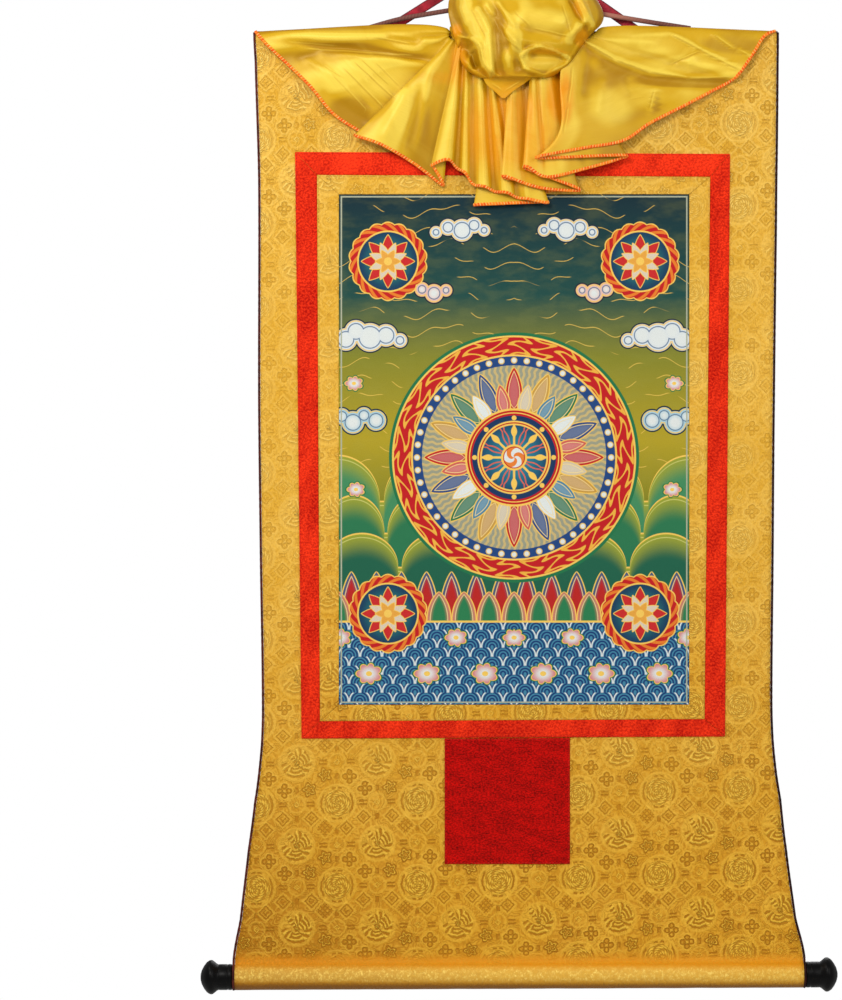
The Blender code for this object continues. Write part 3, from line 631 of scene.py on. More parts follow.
def paintLand(f, x, y, side):
    # rounded hills in three rows, the near ones darker
    for hill in hillRows:
        along = f.wrap(side + hill.shift, hill.span)
        round = f.most(1.0 - (along * 2.1 / hill.span) ** 2.0, 0.0) ** 0.5
        edge = y - (hill.base + hill.tall * round)
        f.paint(f.below(edge, 0), f.mix(f.soft(edge, -26, 0), hill.colour, "meadow"))
        f.paint(f.line(edge, 0.8), "gold")
        f.paint(f.line(edge + 4.0, 0.45), "sprout")
    # water in overlapping scales
    row = f.floor(y / picture["scaleTall"])
    lift = y - row * picture["scaleTall"]
    ripple = f.wrap(x + row * (picture["scaleWide"] / 2), picture["scaleWide"])
    r = f.radius(ripple, lift - 1.0)
    scale = f.mix(f.soft(f.sine(r * 2.1), -0.2, 0.5), "water", "foam")
    scale = f.mix(f.line(r - 10.4, 0.6), scale, "white")
    f.paint(f.below(y, picture["shore"]), scale)
    # two rows of upright petals above the water
    for petal in uprightRows:
        along = f.wrap(x + petal.shift, picture["petalWide"])
        rise = (y - picture["shore"]) / petal.tall
        leaf = abs(along) - 12.2 * (1.0 - f.most(rise, 0.0) ** 2.2) ** 0.8
        on = f.below(-1.0 * rise, 0.0, 0.01) * f.below(rise, 1.0, 0.01)
        f.paint(f.below(leaf, 0) * on, f.mix(f.soft(leaf, -7.0, -0.5), petal.middle, petal.edge))
        f.paint(f.line(leaf, 0.6) * on, "gold")
        f.paint(f.line(leaf + 3.4, 0.4) * on, "paleGold")
    f.paint(f.line(y - picture["shore"], 1.0), "gold")


def paintClouds(f, y, side):  # curled banks in mirrored pairs
    for colour, puffs in clouds:
        near = None
        for across, up, size in puffs:
            out = f.radius(side - across, y - up) - size
            near = out if near is None else f.least(near, out)
        curl = f.mix(f.soft(near, -9, -1), "white", colour)
        f.paint(f.below(near, 0), f.mix(f.line(near + 4.2, 0.5), curl, "shadow"))
        f.paint(f.line(near, 0.7), "ink")
        f.paint(f.line(near + 1.6, 0.5), "gold")


def paintBlossoms(f, y, side):  # small ones along the water and up the sides
    for blossom in blossomRows:
        x, y2 = f.wrap(side - blossom.shift, blossom.span), y - blossom.height
        r = f.radius(x, y2 * 1.25)
        leaf = r - blossom.size * (0.72 + 0.28 * abs(f.cosine(f.angle(x, y2) * 3.5)))
        f.paint(f.below(leaf - 1.8, 0), "green")
        f.paint(f.below(leaf, 0), f.mix(f.soft(r, 2.0, blossom.size), "white", "pink"))
        f.paint(f.line(leaf, 0.5), "gold")
        f.paint(f.below(r, blossom.size * 0.24), "gold")


def paintRoundels(f, y, side):  # four, towards the corners
    x = side - picture["roundelAcross"]
    y = abs(y - picture["roundelMiddle"]) - picture["roundelUp"]
    r, a = f.radius(x, y), f.angle(x, y)
    tongue = r - picture["roundelOut"] - 2.2 * abs(f.sine(a * 9.0))
    f.paint(f.below(tongue, 0),
            f.mix(f.soft(f.sine(a * 18.0 + r * 0.8), -0.2, 0.6), "red", "orange"))
    f.paint(f.line(tongue, 0.6), "gold")
    inner = picture["roundelIn"]
    f.paint(f.below(r, inner), f.mix(f.soft(r, 8, inner), (0.02, 0.20, 0.18), (0.006, 0.04, 0.10)))
    f.paint(f.line(r - inner, 0.8), "gold")
    for petal in roundelPetals:
        step = 2 * math.pi / petal.count
        off = f.wrap(a + step * petal.turned, step) * r
        leaf = abs(off) - petal.wide * (1.0 - (r / petal.outer) ** 2.4)
        on = f.below(r, petal.outer)
        f.paint(f.below(leaf, 0) * on, petal.colour)
        f.paint(f.line(leaf, 0.45) * on, "gold")
    f.paint(f.below(r, 4), "gold")


def paintWheelRim(f, r, a):
    big = picture["wheelOut"]
    f.paint(f.below(r, big + 4.0), "green")
    scroll = f.sine(a * 30.0 + 2.4 * f.sine(r * 0.55 + f.sine(a * 15.0) * 1.5))
    f.paint(f.below(r, big), f.mix(f.soft(scroll, 0.45, 0.8), "red", "amber"))
    f.paint(f.line(r - big, 0.9), "gold")
    f.paint(f.below(r, big - picture["bandWide"]), "blue")
    f.paint(f.line(r - big + picture["bandWide"], 0.9), "gold")
    ring = big - picture["beadIn"]
    bead = f.radius(f.wrap(a, 2 * math.pi / picture["beads"]) * ring,
                    r - big + picture["beadIn"])
    f.paint(f.below(bead, 3.2), (0.75, 0.50, 0.12))
    f.paint(f.below(bead, 2.2), "white")
    field = f.below(r, big - picture["fieldIn"])
    f.paint(field, (0.30, 0.31, 0.22))
    ray = f.soft(f.sine(a * 96.0 + f.sine(r * 0.7) * 0.8), -0.1, 0.4)
    f.paint(field * ray * 0.8, (0.62, 0.45, 0.16))


def paintWheelPetals(f, r, a):
    for petal in wheelPetals:
        step = 2 * math.pi / petal.count
        turned = a + math.pi + step * petal.turned
        along = (r - petal.inner) / (petal.outer - petal.inner)
        swell = f.sine(f.share(along) ** 0.75 * math.pi) ** 0.7
        leaf = abs(f.wrap(turned, step) * r) - petal.wide * swell
        number = f.floor(turned / step + 0.5)
        pick = number.sum("FLOORED_MODULO", number, 4.0) / 4.0 + 0.05
        colour = f.ramp(pick, [(0.25 * i, petal.colours[i]) for i in range(4)], "CONSTANT")
        colour = f.mix(f.soft(leaf, -6, -1), f.mix(0.16, colour, "white"), colour)
        on = f.below(r, petal.outer) * f.below(-1.0 * r, -petal.inner)
        f.paint(f.below(leaf, 0) * on, colour)
        f.paint(f.line(leaf, 0.55) * on, "gold")
        f.paint(f.line(leaf + 3.0, 0.35) * on, "veinGold")


def paintHub(f, r, a):
    f.paint(f.below(r, picture["hub"]), "red")
    f.paint(f.line(r - picture["hub"], 1.0), "gold")
    f.paint(f.line(r - 44.5, 0.5), "gold")
    f.paint(f.below(r, 42), f.mix(f.soft(r, 6, 42), (0.02, 0.22, 0.30), (0.006, 0.03, 0.10)))
    step = 2 * math.pi / picture["spokes"]
    spoke = f.wrap(a, step) * r
    half = f.wrap(a + step / 2, step) * r
    onSpoke = f.below(r, 33)
    thin = f.line(abs(half) - 1.0 - 1.4 * abs(f.sine(r * 0.22)), 0.6)
    f.paint(thin * onSpoke, (0.70, 0.12, 0.06))
    blade = abs(spoke) - 1.1 - 1.9 * f.most(f.sine(r * 0.30), 0.0)
    f.paint(f.below(blade, 0) * onSpoke, "gold")
    f.paint(f.line(r - picture["tyre"], 2.2), "gold")
    f.paint(f.line(r - picture["tyre"], 0.6), "red")
    f.paint(f.below(f.radius(spoke, r - 39.5), 2.4), "gold")
    f.paint(f.below(r, 12), "red")
    f.paint(f.line(r - 12.0, 1.0), "gold")
    swirl = f.sine(a * 3.0 + r * 0.55)
    f.paint(f.below(r, 10), f.mix(f.soft(swirl, -0.1, 0.1), (0.75, 0.20, 0.03), "white"))


def pictureFinish():
    f = Finish("printedCloth")
    x, y = f.cloth()  # from the panel's middle, y upwards
    side = abs(x)
    paintSky(f, x, y, side)
    paintLand(f, x, y, side)
    paintClouds(f, y, side)
    paintBlossoms(f, y, side)
    paintRoundels(f, y, side)
    up = y - picture["wheelDrop"]
    r, a = f.radius(x, up), f.angle(x, up)
    for paintPart in (paintWheelRim, paintWheelPetals, paintHub):
        paintPart(f, r, a)
    # pale line inside the edge, then print grain and weave
    rim = f.most(side - picture["halfWide"], abs(y) - picture["halfTall"])
    f.paint(f.line(rim + 2.4, 0.7), (0.40, 0.42, 0.30))
    grainy = f.speckle(f.point(x, y), 1.4, 2.0, 0.7)
    f.paint(f.soft(grainy, 0.35, 0.7) * 0.16, "black")
    weave = f.sine(x * 7.8) * f.sine(y * 7.8)
    f.set(colour=f.tone, roughness=0.55, specular=0.14, normal=f.bump(weave + grainy, 0.18, 0.4))
    return f.material


finish = {
    "mountCloth": brocadeFinish("mountBrocade", (-20.5, 10.2)),
    "borderCloth": brocadeFinish("borderBrocade", (12.0, 9.0)),
    "red_damask": damaskFinish("red_damask"),
    "deep_red_damask": damaskFinish("deep_red_damask"),
    "satin": satinFinish(),
    "overlock": threadFinish("overlockThread", (0.80, 0.075, 0.008), (0.98, 0.30, 0.02), 260.0),
    "overlockPale": threadFinish("paleOverlockThread", (0.93, 0.30, 0.03), (1.0, 0.66, 0.22),
                                 300.0),
    "pipingLeft": threadFinish("maroonPiping", (0.030, 0.006, 0.005), (0.11, 0.020, 0.014), 120.0),
    # the right piping is the same maroon piping as the left, darker with painted shade
    "pipingRight": threadFinish("shadedMaroonPiping", (0.010, 0.004, 0.004), (0.035, 0.008, 0.007), 120.0),
    "goldThread": threadFinish("goldThread", (0.45, 0.23, 0.03), (0.80, 0.50, 0.12), 200.0),
    "redThread": threadFinish("redThread", (0.40, 0.008, 0.006), (0.70, 0.03, 0.02), 200.0),
    "lath": woodFinish("darkWood", (0.02, 0.010, 0.007), (0.07, 0.035, 0.022), 0.5),
    "stick": woodFinish("plainWood", (0.33, 0.19, 0.085), (0.58, 0.38, 0.20), 0.55),
    "lacquer": lacquerFinish(),
    "cord": cordFinish(),
    "ribbon": ribbonFinish(),
    "picture": pictureFinish(),
}
print("finishes:", len(finish))


# cloth helpers
def gridPiece(name, columns, rows, pointAt, clothAt, material):
    points = []
    marks = []
    for row in range(rows + 1):
        for column in range(columns + 1):
            points.append(pointAt(column, row))
            marks.append(clothAt(column, row))
    wide = columns + 1
    faces = [
        (row * wide + column, (row + 1) * wide + column,
         (row + 1) * wide + column + 1, row * wide + column + 1)
        for row in range(rows) for column in range(columns)
    ]
    return meshPiece(name, points, faces, material, marks)


def meshPiece(name, points, faces, material, marks=None):
    mesh = bpy.data.meshes.new(name)
    mesh.from_pydata(points, [], faces)
    mesh.materials.append(material)
    if marks:
        layer = mesh.uv_layers.new(name="cloth")
        for loop in mesh.loops:
            layer.data[loop.index].uv = marks[loop.vertex_index]
    mesh.shade_smooth()
    piece = bpy.data.objects.new(name, mesh)
    bpy.context.scene.collection.objects.link(piece)
    return piece


def pickOnly(piece):
    bpy.ops.object.select_all(action="DESELECT")
    piece.select_set(True)
    bpy.context.view_layer.objects.active = piece


def finishWith(piece, material):
    piece.data.materials.clear()
    piece.data.materials.append(material)


def roundEdges(piece, wide, sharpOver):
    soft = piece.modifiers.new("rounded", "BEVEL")
    soft.width = wide * mm
    soft.segments = 2
    soft.limit_method = "ANGLE"
    soft.angle_limit = sharpOver
    bpy.ops.object.modifier_apply(modifier=soft.name)


def thicken(piece, thickness, crisp=0.0):
    pickOnly(piece)
    shell = piece.modifiers.new("shell", "SOLIDIFY")
    shell.thickness = thickness * mm
    shell.offset = 0
    shell.use_even_offset = False
    bpy.ops.object.modifier_apply(modifier=shell.name)
    if crisp:
        roundEdges(piece, crisp, math.radians(60))
    return piece


def layerArea(piece):  # one side of a sheet, in square metres
    return sum(face.area for face in piece.data.polygons) / 2


def declare(piece, slotName, *nodes):
    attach(piece, "root")
    if nodes:
        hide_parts(*nodes)


# brocade mount
mount = {
    "thick": 1.3, "columns": 110, "rows": 190, "top": 83.5,
    "stickRadius": 10.75, "stickDrop": 1026.8, "tilt": -0.0044,
    "ease": 0.8, "fillet": 8.0, "hem": 14.0, "cadThick": 1.5,
    "belly": 1.3, "sway": 0.8, "flute": 2.8, "ripple": 0.35, "pucker": 0.14,
    "pipe": 1.2, "pipeGap": 0.1,
    "filletSteps": 9, "turnSteps": 48, "backSteps": 8, "hemSteps": 4,
    "flatWide": 0.569,  # the cut cloth at its widest, in metres
}
edgeRows = table("drop left right", [
    (82, 265.5, 260.5), (111, 264, 260.3), (231, 260.5, 259), (451, 260.5, 256.5),
    (611, 258.7, 255.2), (751, 256.7, 254), (791, 257.5, 255.2), (824, 260.5, 258.5),
    (851, 264.4, 262.9), (901, 271, 268.7), (970, 279, 277.8), (1009, 286, 287),
])


def edgeAt(drop):
    drop = min(max(drop, edgeRows[0].drop), edgeRows[-1].drop)
    index = max(i for i, row in enumerate(edgeRows[:-1]) if row.drop <= drop)
    step = (drop - edgeRows[index].drop) / (edgeRows[index + 1].drop - edgeRows[index].drop)
    inset = 2 * mount["pipe"] + mount["pipeGap"]
    left = spline([row.left for row in edgeRows], index + step)
    right = spline([row.right for row in edgeRows], index + step)
    return inset - left, right - inset


def hang(x, drop):  # how far the cloth bows, sways and flutes forward there, in millimetres
    held = smooth((drop - 95) / 110) * smooth((958 - drop) / 75)  # still at the two sticks
    belly = mount["belly"] * math.sin(math.pi * (drop - 90) / 900)
    sway = mount["sway"] * math.sin(x / 95 + drop / 260)
    flared = smooth((drop - 780) / 120) * (x / 265) ** 2  # only where the cloth widens
    flutes = mount["flute"] * flared * math.cos(x / 29 + 0.6)
    ripple = mount["ripple"] * grain(x, drop, 46) + mount["pucker"] * grain(x, drop, 15, 3)
    return held * (belly + sway + flutes + ripple)


def sleeveProfile(around):  # (forward, above the stick), from the front hollow to the hem behind
    wrap = mount["stickRadius"] + mount["ease"] + mount["cadThick"] / 2
    fillet = mount["fillet"]
    reach = wrap + fillet
    frontHeight = math.sqrt(reach ** 2 - fillet ** 2)
    behind = mount["cadThick"] + 0.3
    backHeight = math.sqrt(reach ** 2 - (fillet + behind) ** 2)
    frontTurn = math.atan2(frontHeight, fillet)
    backTurn = math.atan2(backHeight, -fillet - behind)
    points = []
    for step in range(mount["filletSteps"]):
        angle = math.pi + frontTurn * step / mount["filletSteps"]
        points.append((fillet + fillet * math.cos(angle), frontHeight + fillet * math.sin(angle)))
    for step in range(around + 1):
        angle = frontTurn + (backTurn - 2 * math.pi - frontTurn) * step / around
        points.append((wrap * math.cos(angle), wrap * math.sin(angle)))
    for step in range(1, mount["backSteps"] + 1):
        angle = (backTurn - math.pi) * (1 - step / mount["backSteps"])
        points.append((-fillet - behind + fillet * math.cos(angle),
                       backHeight + fillet * math.sin(angle)))
    for step in range(1, mount["hemSteps"] + 1):
        points.append((-behind, backHeight + mount["hem"] * step / mount["hemSteps"]))
    return points


def mountSection(across, rows, around, hemToo=True):
    profile = sleeveProfile(around)
    height = profile[0][1]
    points = []
    for row in range(rows):
        down = row / rows
        drop = mount["top"] + (mount["stickDrop"] - height - mount["top"]) * down
        left, right = edgeAt(drop)
        x = left + (right - left) * across
        drop += mount["tilt"] * x * down
        points.append(place(x, drop, hang(x, drop)))
    behindStick = mount["backSteps"] + mount["hemSteps"] + 1  # points that the piping leaves out
    for forward, above in profile if hemToo else profile[:-behindStick]:
        left, right = edgeAt(mount["stickDrop"] - above)
        x = left + (right - left) * across
        slack = 0.22 * grain(x, above * 4, 24, 8)
        scale = 1 + slack / max(math.hypot(forward, above), 9) if forward > -1 else 1
        stickDrop = mount["stickDrop"] + mount["tilt"] * x
        points.append(place(x, stickDrop - above * scale, forward * scale))
    return points


def makeMount():
    columns = mount["columns"]
    sections = [mountSection(column / columns, mount["rows"], mount["turnSteps"])
                for column in range(columns + 1)]
    lengths = []
    for section in sections:
        run = [0.0]
        for before, here in zip(section, section[1:]):
            run.append(run[-1] + (here - before).length)
        lengths.append(run)
    piece = gridPiece(
        "brocadeMount", columns, len(sections[0]) - 1,
        lambda column, row: sections[column][row],
        lambda column, row: (sections[column][row].x, lengths[column][row]),
        finish["mountCloth"],
    )
    thicken(piece, mount["thick"])
    declare(piece, "gold_brocade", "brocade_mount")
    print("mount: cloth area", round(layerArea(piece), 4), "length", round(lengths[0][-1], 4))
    return piece, (mount["flatWide"], lengths[0][-1])


mountPiece, mountFlat = makeMount()


# thread and tube helpers
def turnFacesOut(piece, mergeWithin=0.0):
    pickOnly(piece)
    bpy.ops.object.mode_set(mode="EDIT")
    bpy.ops.mesh.select_all(action="SELECT")
    if mergeWithin:
        bpy.ops.mesh.remove_doubles(threshold=mergeWithin * mm)
    bpy.ops.mesh.normals_make_consistent(inside=False)
    bpy.ops.object.mode_set(mode="OBJECT")


def tubePiece(name, path, radius, sides, material, wobble=None):
    points, marks = [], []
    run = 0.0
    last = len(path) - 1
    side = None
    for index, centre in enumerate(path):
        along = (path[min(index + 1, last)] - path[max(index - 1, 0)]).normalized()
        if side is None:
            side = along.orthogonal().normalized()
        side = (side - along * side.dot(along)).normalized()
        up = along.cross(side)
        if index:
            run += (centre - path[index - 1]).length
        for turn in range(sides + 1):
            angle = 2 * math.pi * turn / sides
            size = radius * (wobble(angle, run) if wobble else 1.0) * mm
            points.append(centre + (side * math.cos(angle) + up * math.sin(angle)) * size)
            marks.append((turn / sides * mm, run))
    wide = sides + 1
    faces = [
        (row * wide + turn, row * wide + turn + 1,
         (row + 1) * wide + turn + 1, (row + 1) * wide + turn)
        for row in range(last) for turn in range(sides)
    ]
    for base, flip in ((0, True), (last * wide, False)):
        points.append(path[0] if flip else path[-1])
        marks.append((0.0, 0.0 if flip else run))
        for turn in range(sides):
            ends = (len(points) - 1, base + turn + 1, base + turn)
            faces.append(ends if flip else ends[::-1])
    piece = meshPiece(name, points, faces, material, marks)
    turnFacesOut(piece, mergeWithin=0.002)
    return piece


# one stitch is a low arched bead: share of its length, size and rise at each ring of corners
stitch = {
    "corners": 6, "flat": 0.8,
    "rings": ((0.0, 0.35, 0.0), (0.3, 1.0, 0.9), (0.7, 1.0, 0.9), (1.0, 0.35, 0.0)),
}


def bridgeRings(faces, base, corners, rings):  # the skin of a closed bead or band
    for ring in range(rings - 1):
        here = base + ring * corners
        above = here + corners
        for turn in range(corners):
            after = (turn + 1) % corners
            faces.append((here + turn, here + after, above + after, above + turn))
    last = base + (rings - 1) * corners
    faces.append(tuple(base + turn for turn in range(corners - 1, -1, -1)))
    faces.append(tuple(last + turn for turn in range(corners)))


def stitchForm(verts, faces, start, end, width, lift, up):
    along = end - start
    side = along.cross(up).normalized() * width
    base = len(verts)
    for share, size, rise in stitch["rings"]:
        middle = start + along * share
        for corner in range(stitch["corners"]):
            turn = 2 * math.pi * corner / stitch["corners"]
            verts.append(middle + side * math.cos(turn) * size
                         + up * (lift * rise + lift * stitch["flat"] * math.sin(turn) * size))
    bridgeRings(faces, base, stitch["corners"], len(stitch["rings"]))


# piping
piping = {"sides": 12, "rows": 260, "turnSteps": 44, "twist": 0.07, "pitch": 2600}


def makePiping(name, across, node):
    outward = -1 if across == 0 else 1
    shift = Vector((outward * (mount["pipe"] + mount["pipeGap"]) * mm, 0, 0))
    section = mountSection(across, piping["rows"], piping["turnSteps"], hemToo=False)
    piece = tubePiece(
        name, [point + shift for point in section], mount["pipe"], piping["sides"],
        finish["pipingLeft" if outward < 0 else "pipingRight"],
        lambda angle, run: 1 + piping["twist"] * math.sin(run * piping["pitch"] + 2 * angle),
    )
    declare(piece, "dark_piping", node)
    return piece


pipings = [makePiping("leftPiping", 0, "piping_left"),
           makePiping("rightPiping", 1, "piping_right")]
print("mount and piping: done")


# frame, border, picture and door
patches = {
    "cadThick": 1.0, "gap": 0.3, "thick": 0.8, "crisp": 0.22, "mitre": 0.12,
    "puff": 0.10, "puffWide": 22, "edgeSunk": 0.08, "spare": 0.001,
    "stripGrid": (100, 6), "pictureGrid": (70, 100), "doorGrid": (40, 40),
    "seamPitch": 3.4, "seamWide": 0.28, "seamLift": 0.16, "frameInset": 1.3, "borderInset": 1.2,
    "frameOuter": [(-223.5, 203.0), (211.5, 205.0), (206.5, 787.5), (-217.0, 789.5)],
    "frameInner": [(-201.5, 226.0), (191.5, 228.0), (186.0, 770.0), (-198.5, 772.0)],
    "picture": [(-179.5, 245.5), (170.5, 245.5), (170.5, 755.5), (-179.5, 755.5)],
    "door": [(-74.0, 789.2), (51.5, 788.6), (51.5, 915.0), (-74.0, 915.0)],
}


def insetCorners(corners, amount):
    moved = []
    for index, corner in enumerate(corners):
        here = Vector(corner)
        before = (Vector(corners[index - 1]) - here).normalized()
        after = (Vector(corners[(index + 1) % 4]) - here).normalized()
        sine = abs(before.x * after.y - before.y * after.x)
        moved.append(here + (before + after) * amount / sine)
    return moved


def makePatch(name, corners, grid, material, slotName, node, alongStrip=False):
    columns, rows = grid
    topLeft, topRight, bottomRight, bottomLeft = insetCorners(corners, patches["mitre"])
    lift = mount["cadThick"] / 2 + patches["gap"] + patches["cadThick"] / 2
    middle = (topLeft + topRight + bottomLeft + bottomRight) / 4

    def spotAt(column, row):
        across, down = column / columns, row / rows
        return topLeft.lerp(topRight, across).lerp(bottomLeft.lerp(bottomRight, across), down)

    def pointAt(column, row):
        spot = spotAt(column, row)
        inward = min(column, columns - column, row, rows - row)
        puff = -patches["edgeSunk"]
        if inward:
            puff = patches["puff"] * grain(spot.x, spot.y, patches["puffWide"], 5)
        return place(spot.x, spot.y, hang(spot.x, spot.y) + lift + puff)

    def clothAt(column, row):
        spot = spotAt(column, row)
        if alongStrip:
            return spot.x * mm, spot.y * mm
        return (spot.x - middle.x) * mm, (middle.y - spot.y) * mm

    piece = gridPiece(name, columns, rows, pointAt, clothAt, material)
    thicken(piece, patches["thick"], patches["crisp"])
    declare(piece, slotName, node)
    wide = max((topRight - topLeft).length, (bottomRight - bottomLeft).length) * mm
    tall = max((bottomLeft - topLeft).length, (bottomRight - topRight).length) * mm
    flat = (wide + patches["spare"], tall + patches["spare"])
    area = max(min(layerArea(piece), wide * tall), 0.31 * flat[0] * flat[1])
    return piece


def makeStrips(prefix, outer, inner, material, slotName, nodePrefix):
    for index, side in enumerate(("top", "right", "bottom", "left")):
        after = (index + 1) % 4
        corners = [outer[index], outer[after], inner[after], inner[index]]
        makePatch(prefix + side.capitalize(), corners, patches["stripGrid"], material, slotName,
                  nodePrefix + side, alongStrip=True)


makeStrips("redFrame", patches["frameOuter"], patches["frameInner"],
           finish["red_damask"], "red_damask", "red_frame_")
makeStrips("goldBorder", patches["frameInner"], patches["picture"],
           finish["borderCloth"], "gold_brocade", "gold_border_")
makePatch("picturePanel", patches["picture"], patches["pictureGrid"], finish["picture"],
          "printed_cloth", "picture_panel")
makePatch("doorCloth", patches["door"], patches["doorGrid"], finish["deep_red_damask"],
          "deep_red_damask", "door")


def seamStitches(name, outlines, inset, material, slotName):
    # the seams lie on the face of the strips
    lift = (mount["cadThick"] + patches["cadThick"] + patches["thick"]) / 2 + patches["gap"] + 0.05
    verts, faces = [], []
    for corners in outlines:
        ring = insetCorners(corners, inset)
        for index in range(4):
            start, end = ring[index], ring[(index + 1) % 4]
            count = int((end - start).length / patches["seamPitch"])
            for step in range(count):
                a = start.lerp(end, (step + 0.14) / count)
                b = start.lerp(end, (step + 0.86) / count)
                ends = [place(spot.x, spot.y, hang(spot.x, spot.y) + lift) for spot in (a, b)]
                stitchForm(verts, faces, *ends, patches["seamWide"] * mm, patches["seamLift"] * mm,
                           Vector((0, -1, 0)))
    piece = meshPiece(name, verts, faces, material)
    turnFacesOut(piece)
    declare(piece, slotName)


seamStitches("frameStitches", [patches["frameOuter"], patches["door"]], patches["frameInset"],
             finish["redThread"], "red_damask")
seamStitches("borderStitches", [patches["frameInner"]], patches["borderInset"],
             finish["goldThread"], "gold_brocade")
print("frame, border, picture and door: done")


# veil
veil = {
    "thick": 0.5, "foldSteps": 8, "rows": 58, "belly": 1.0,
    "bunchColumns": 136, "bunchSteps": 8, "rounding": 0.55, "squareness": 0.7,
    "skirtReach": 10, "bunchReach": 12,  # columns of cloth that a fold's shade is judged by
    "shadeDepth": 5.0,  # millimetres of fold from the darkest painted shade to the palest painted highlight
    "threadAcross": 0.0011, "threadDown": 0.0026,  # cloth to each column and row, in metres
    "flatWide": 0.58, "flatShare": 0.95,  # the cut cloth, in metres, and how much of it lies open
}
foldRows = table("topX topDrop topForward hemX hemDrop hemForward rise bow", [
    (-68, 83.5, 6.5, -264, 83, 2.2, 8, 0), (-69, 85, 8.5, -252, 97, 7.5, 4, 0),
    (-69.6, 86.3, 7.8, -237, 111, 5, 1, 0), (-69.8, 87.6, 9.2, -208.5, 139, 9, 0, 0),
    (-69.4, 88.8, 8.4, -184.5, 167, 6, 0, 0), (-68.8, 89.9, 8.6, -151, 188, 4.8, 0, 0),
    (-68, 90.8, 9.4, -149.5, 190, 7.6, 0, 0), (-67.2, 91.5, 10.6, -161, 188.5, 10.2, 0, 0),
    (-66.4, 92, 12, -162.5, 189, 13.2, 0, 0), (-65.4, 92.4, 13.6, -137, 198, 16, 0, 0),
    (-64.2, 92.6, 12.8, -105, 216, 8, 0, 0), (-62.9, 92.7, 12.2, -78, 236.5, 6.2, 0, 0),
    (-61.6, 92.7, 13, -76.5, 235, 9.2, 0, 0), (-60.2, 92.7, 14, -85.5, 220, 12.2, 0, 0),
    (-58.8, 92.8, 15, -86.5, 218.5, 15.4, 0, 0), (-57.2, 93, 16.2, -71, 213, 18.5, 0, 0),
    (-55, 93.4, 13.6, -62, 221, 10, 0, 0), (-51.5, 94, 14.4, -54, 226, 15, 0, 0),
    (-46.5, 95, 12.4, -46, 237, 10.9, 0, 0), (-40, 95.5, 13.5, -34, 240, 17.9, 0, 0),
    (-35, 96, 12, -24, 244.5, 11.4, 0, 0), (-31.5, 96, 13.2, -12, 246, 17, 0, 0),
    (-28.5, 96, 12.2, -2, 250.5, 11.4, 0, 0), (-25.5, 96, 12.8, 8.6, 252, 13.6, 0, 0),
    (-23, 96, 12.2, 25.7, 255.5, 12.8, 0, 0), (-20.8, 96, 9.2, 24.3, 254.5, 8.6, 0, 0),
    (-18.6, 96, 6.4, -35.3, 257, 9, 0, 0), (-16.4, 96, 5.2, -36.7, 256, 5.4, 0, 0),
    (-14, 96, 6.2, 44, 241, 5.2, 0, 0), (-11.6, 96, 9.6, 45.1, 239, 10.6, 0, 0),
    (-9.2, 96, 12, -11.2, 232, 20.2, 0, 0), (-6.5, 96, 16.8, -12.3, 230.5, 22.6, 0, 0),
    (0, 96, 13.4, 20, 241, 17.2, 0, 0), (6, 96, 15.2, 54.6, 243.6, 12.8, 0, 0),
    (9, 96, 16.2, 57.3, 241, 16, 0, 0), (12.5, 96, 17.6, 7.8, 223, 25, 0, 0),
    (15.5, 96, 19.8, 9.1, 221.5, 27.2, 0, 0), (22, 95.5, 21, 28.4, 231, 24.2, 0, 0),
    (28, 95, 14.6, 70, 221, 16.4, 0, 0), (33, 94.5, 13.2, 99.4, 212, 11.6, 0, 0),
    (38, 94, 16.4, 103.1, 208.5, 15.2, 0, 0), (45.5, 93.5, 20.8, 25, 212.5, 29, 0, 15),
    (50, 93, 20.8, 21.1, 211, 34, 0, 16), (55, 92.5, 17.8, 64.8, 202, 24.4, 0, 6),
    (60, 92, 14.8, 104, 194, 15.7, 0, 0), (64, 91.4, 13.2, 131.5, 176, 11.2, 0, 0),
    (67, 90.7, 12, 167.5, 157.5, 9.5, 0, 0), (69.2, 89.9, 10.6, 194.5, 143, 7, 0, 0),
    (71, 88.8, 9.4, 211, 134, 5.2, 0, 0), (73, 87.4, 9.2, 221, 126, 9, 0, 0),
    (75.2, 85.6, 8.6, 235.5, 105, 7.5, 1, 0), (77.4, 83.2, 7.6, 246, 88.5, 5.6, 3, 0),
    (79.5, 80.8, 6.6, 257.5, 82.5, 2.2, 4, 0),
])
bunchRows = table("drop forward left right turnedBack shoulder", [
    (106, 20, -54, 47, 1, 0), (98, 14.5, -59, 53, 1, 0), (88, 7, -67, 66, 1, 0),
    (79.5, 1.5, -69, 72, 0, 0), (75, -5, -66, 69, -2, 0), (67, -8.5, -63, 67, -4, 0),
    (54, -9, -60, 64, -5, 2), (38, -8, -57, 60, -4, 6), (23, -3, -55, 57, -1, 11),
    (16, 6, -55, 57, 4, 15), (21, 17, -58, 62, 9, 13), (35, 25, -65, 69, 14, 7),
    (51, 31, -69.5, 78, 19, 2), (65, 36, -70, 84, 24, 0), (76, 40, -68, 82.5, 27, 0),
    (89, 43, -65, 70, 28, 0), (103, 45, -60, 60, 27, 0), (116, 44, -57, 51, 24, 0),
    (125.5, 40, -49, 40, 19, 0), (131, 33, -38, 29, 11, 0), (131, 27, -36, 15, 5, 0),
    (138, 24.5, -32, 3.5, 1, 0), (145, 24, -24, -6.5, 0.5, 0), (151.5, 24, -17, -14, 0, 0),
])
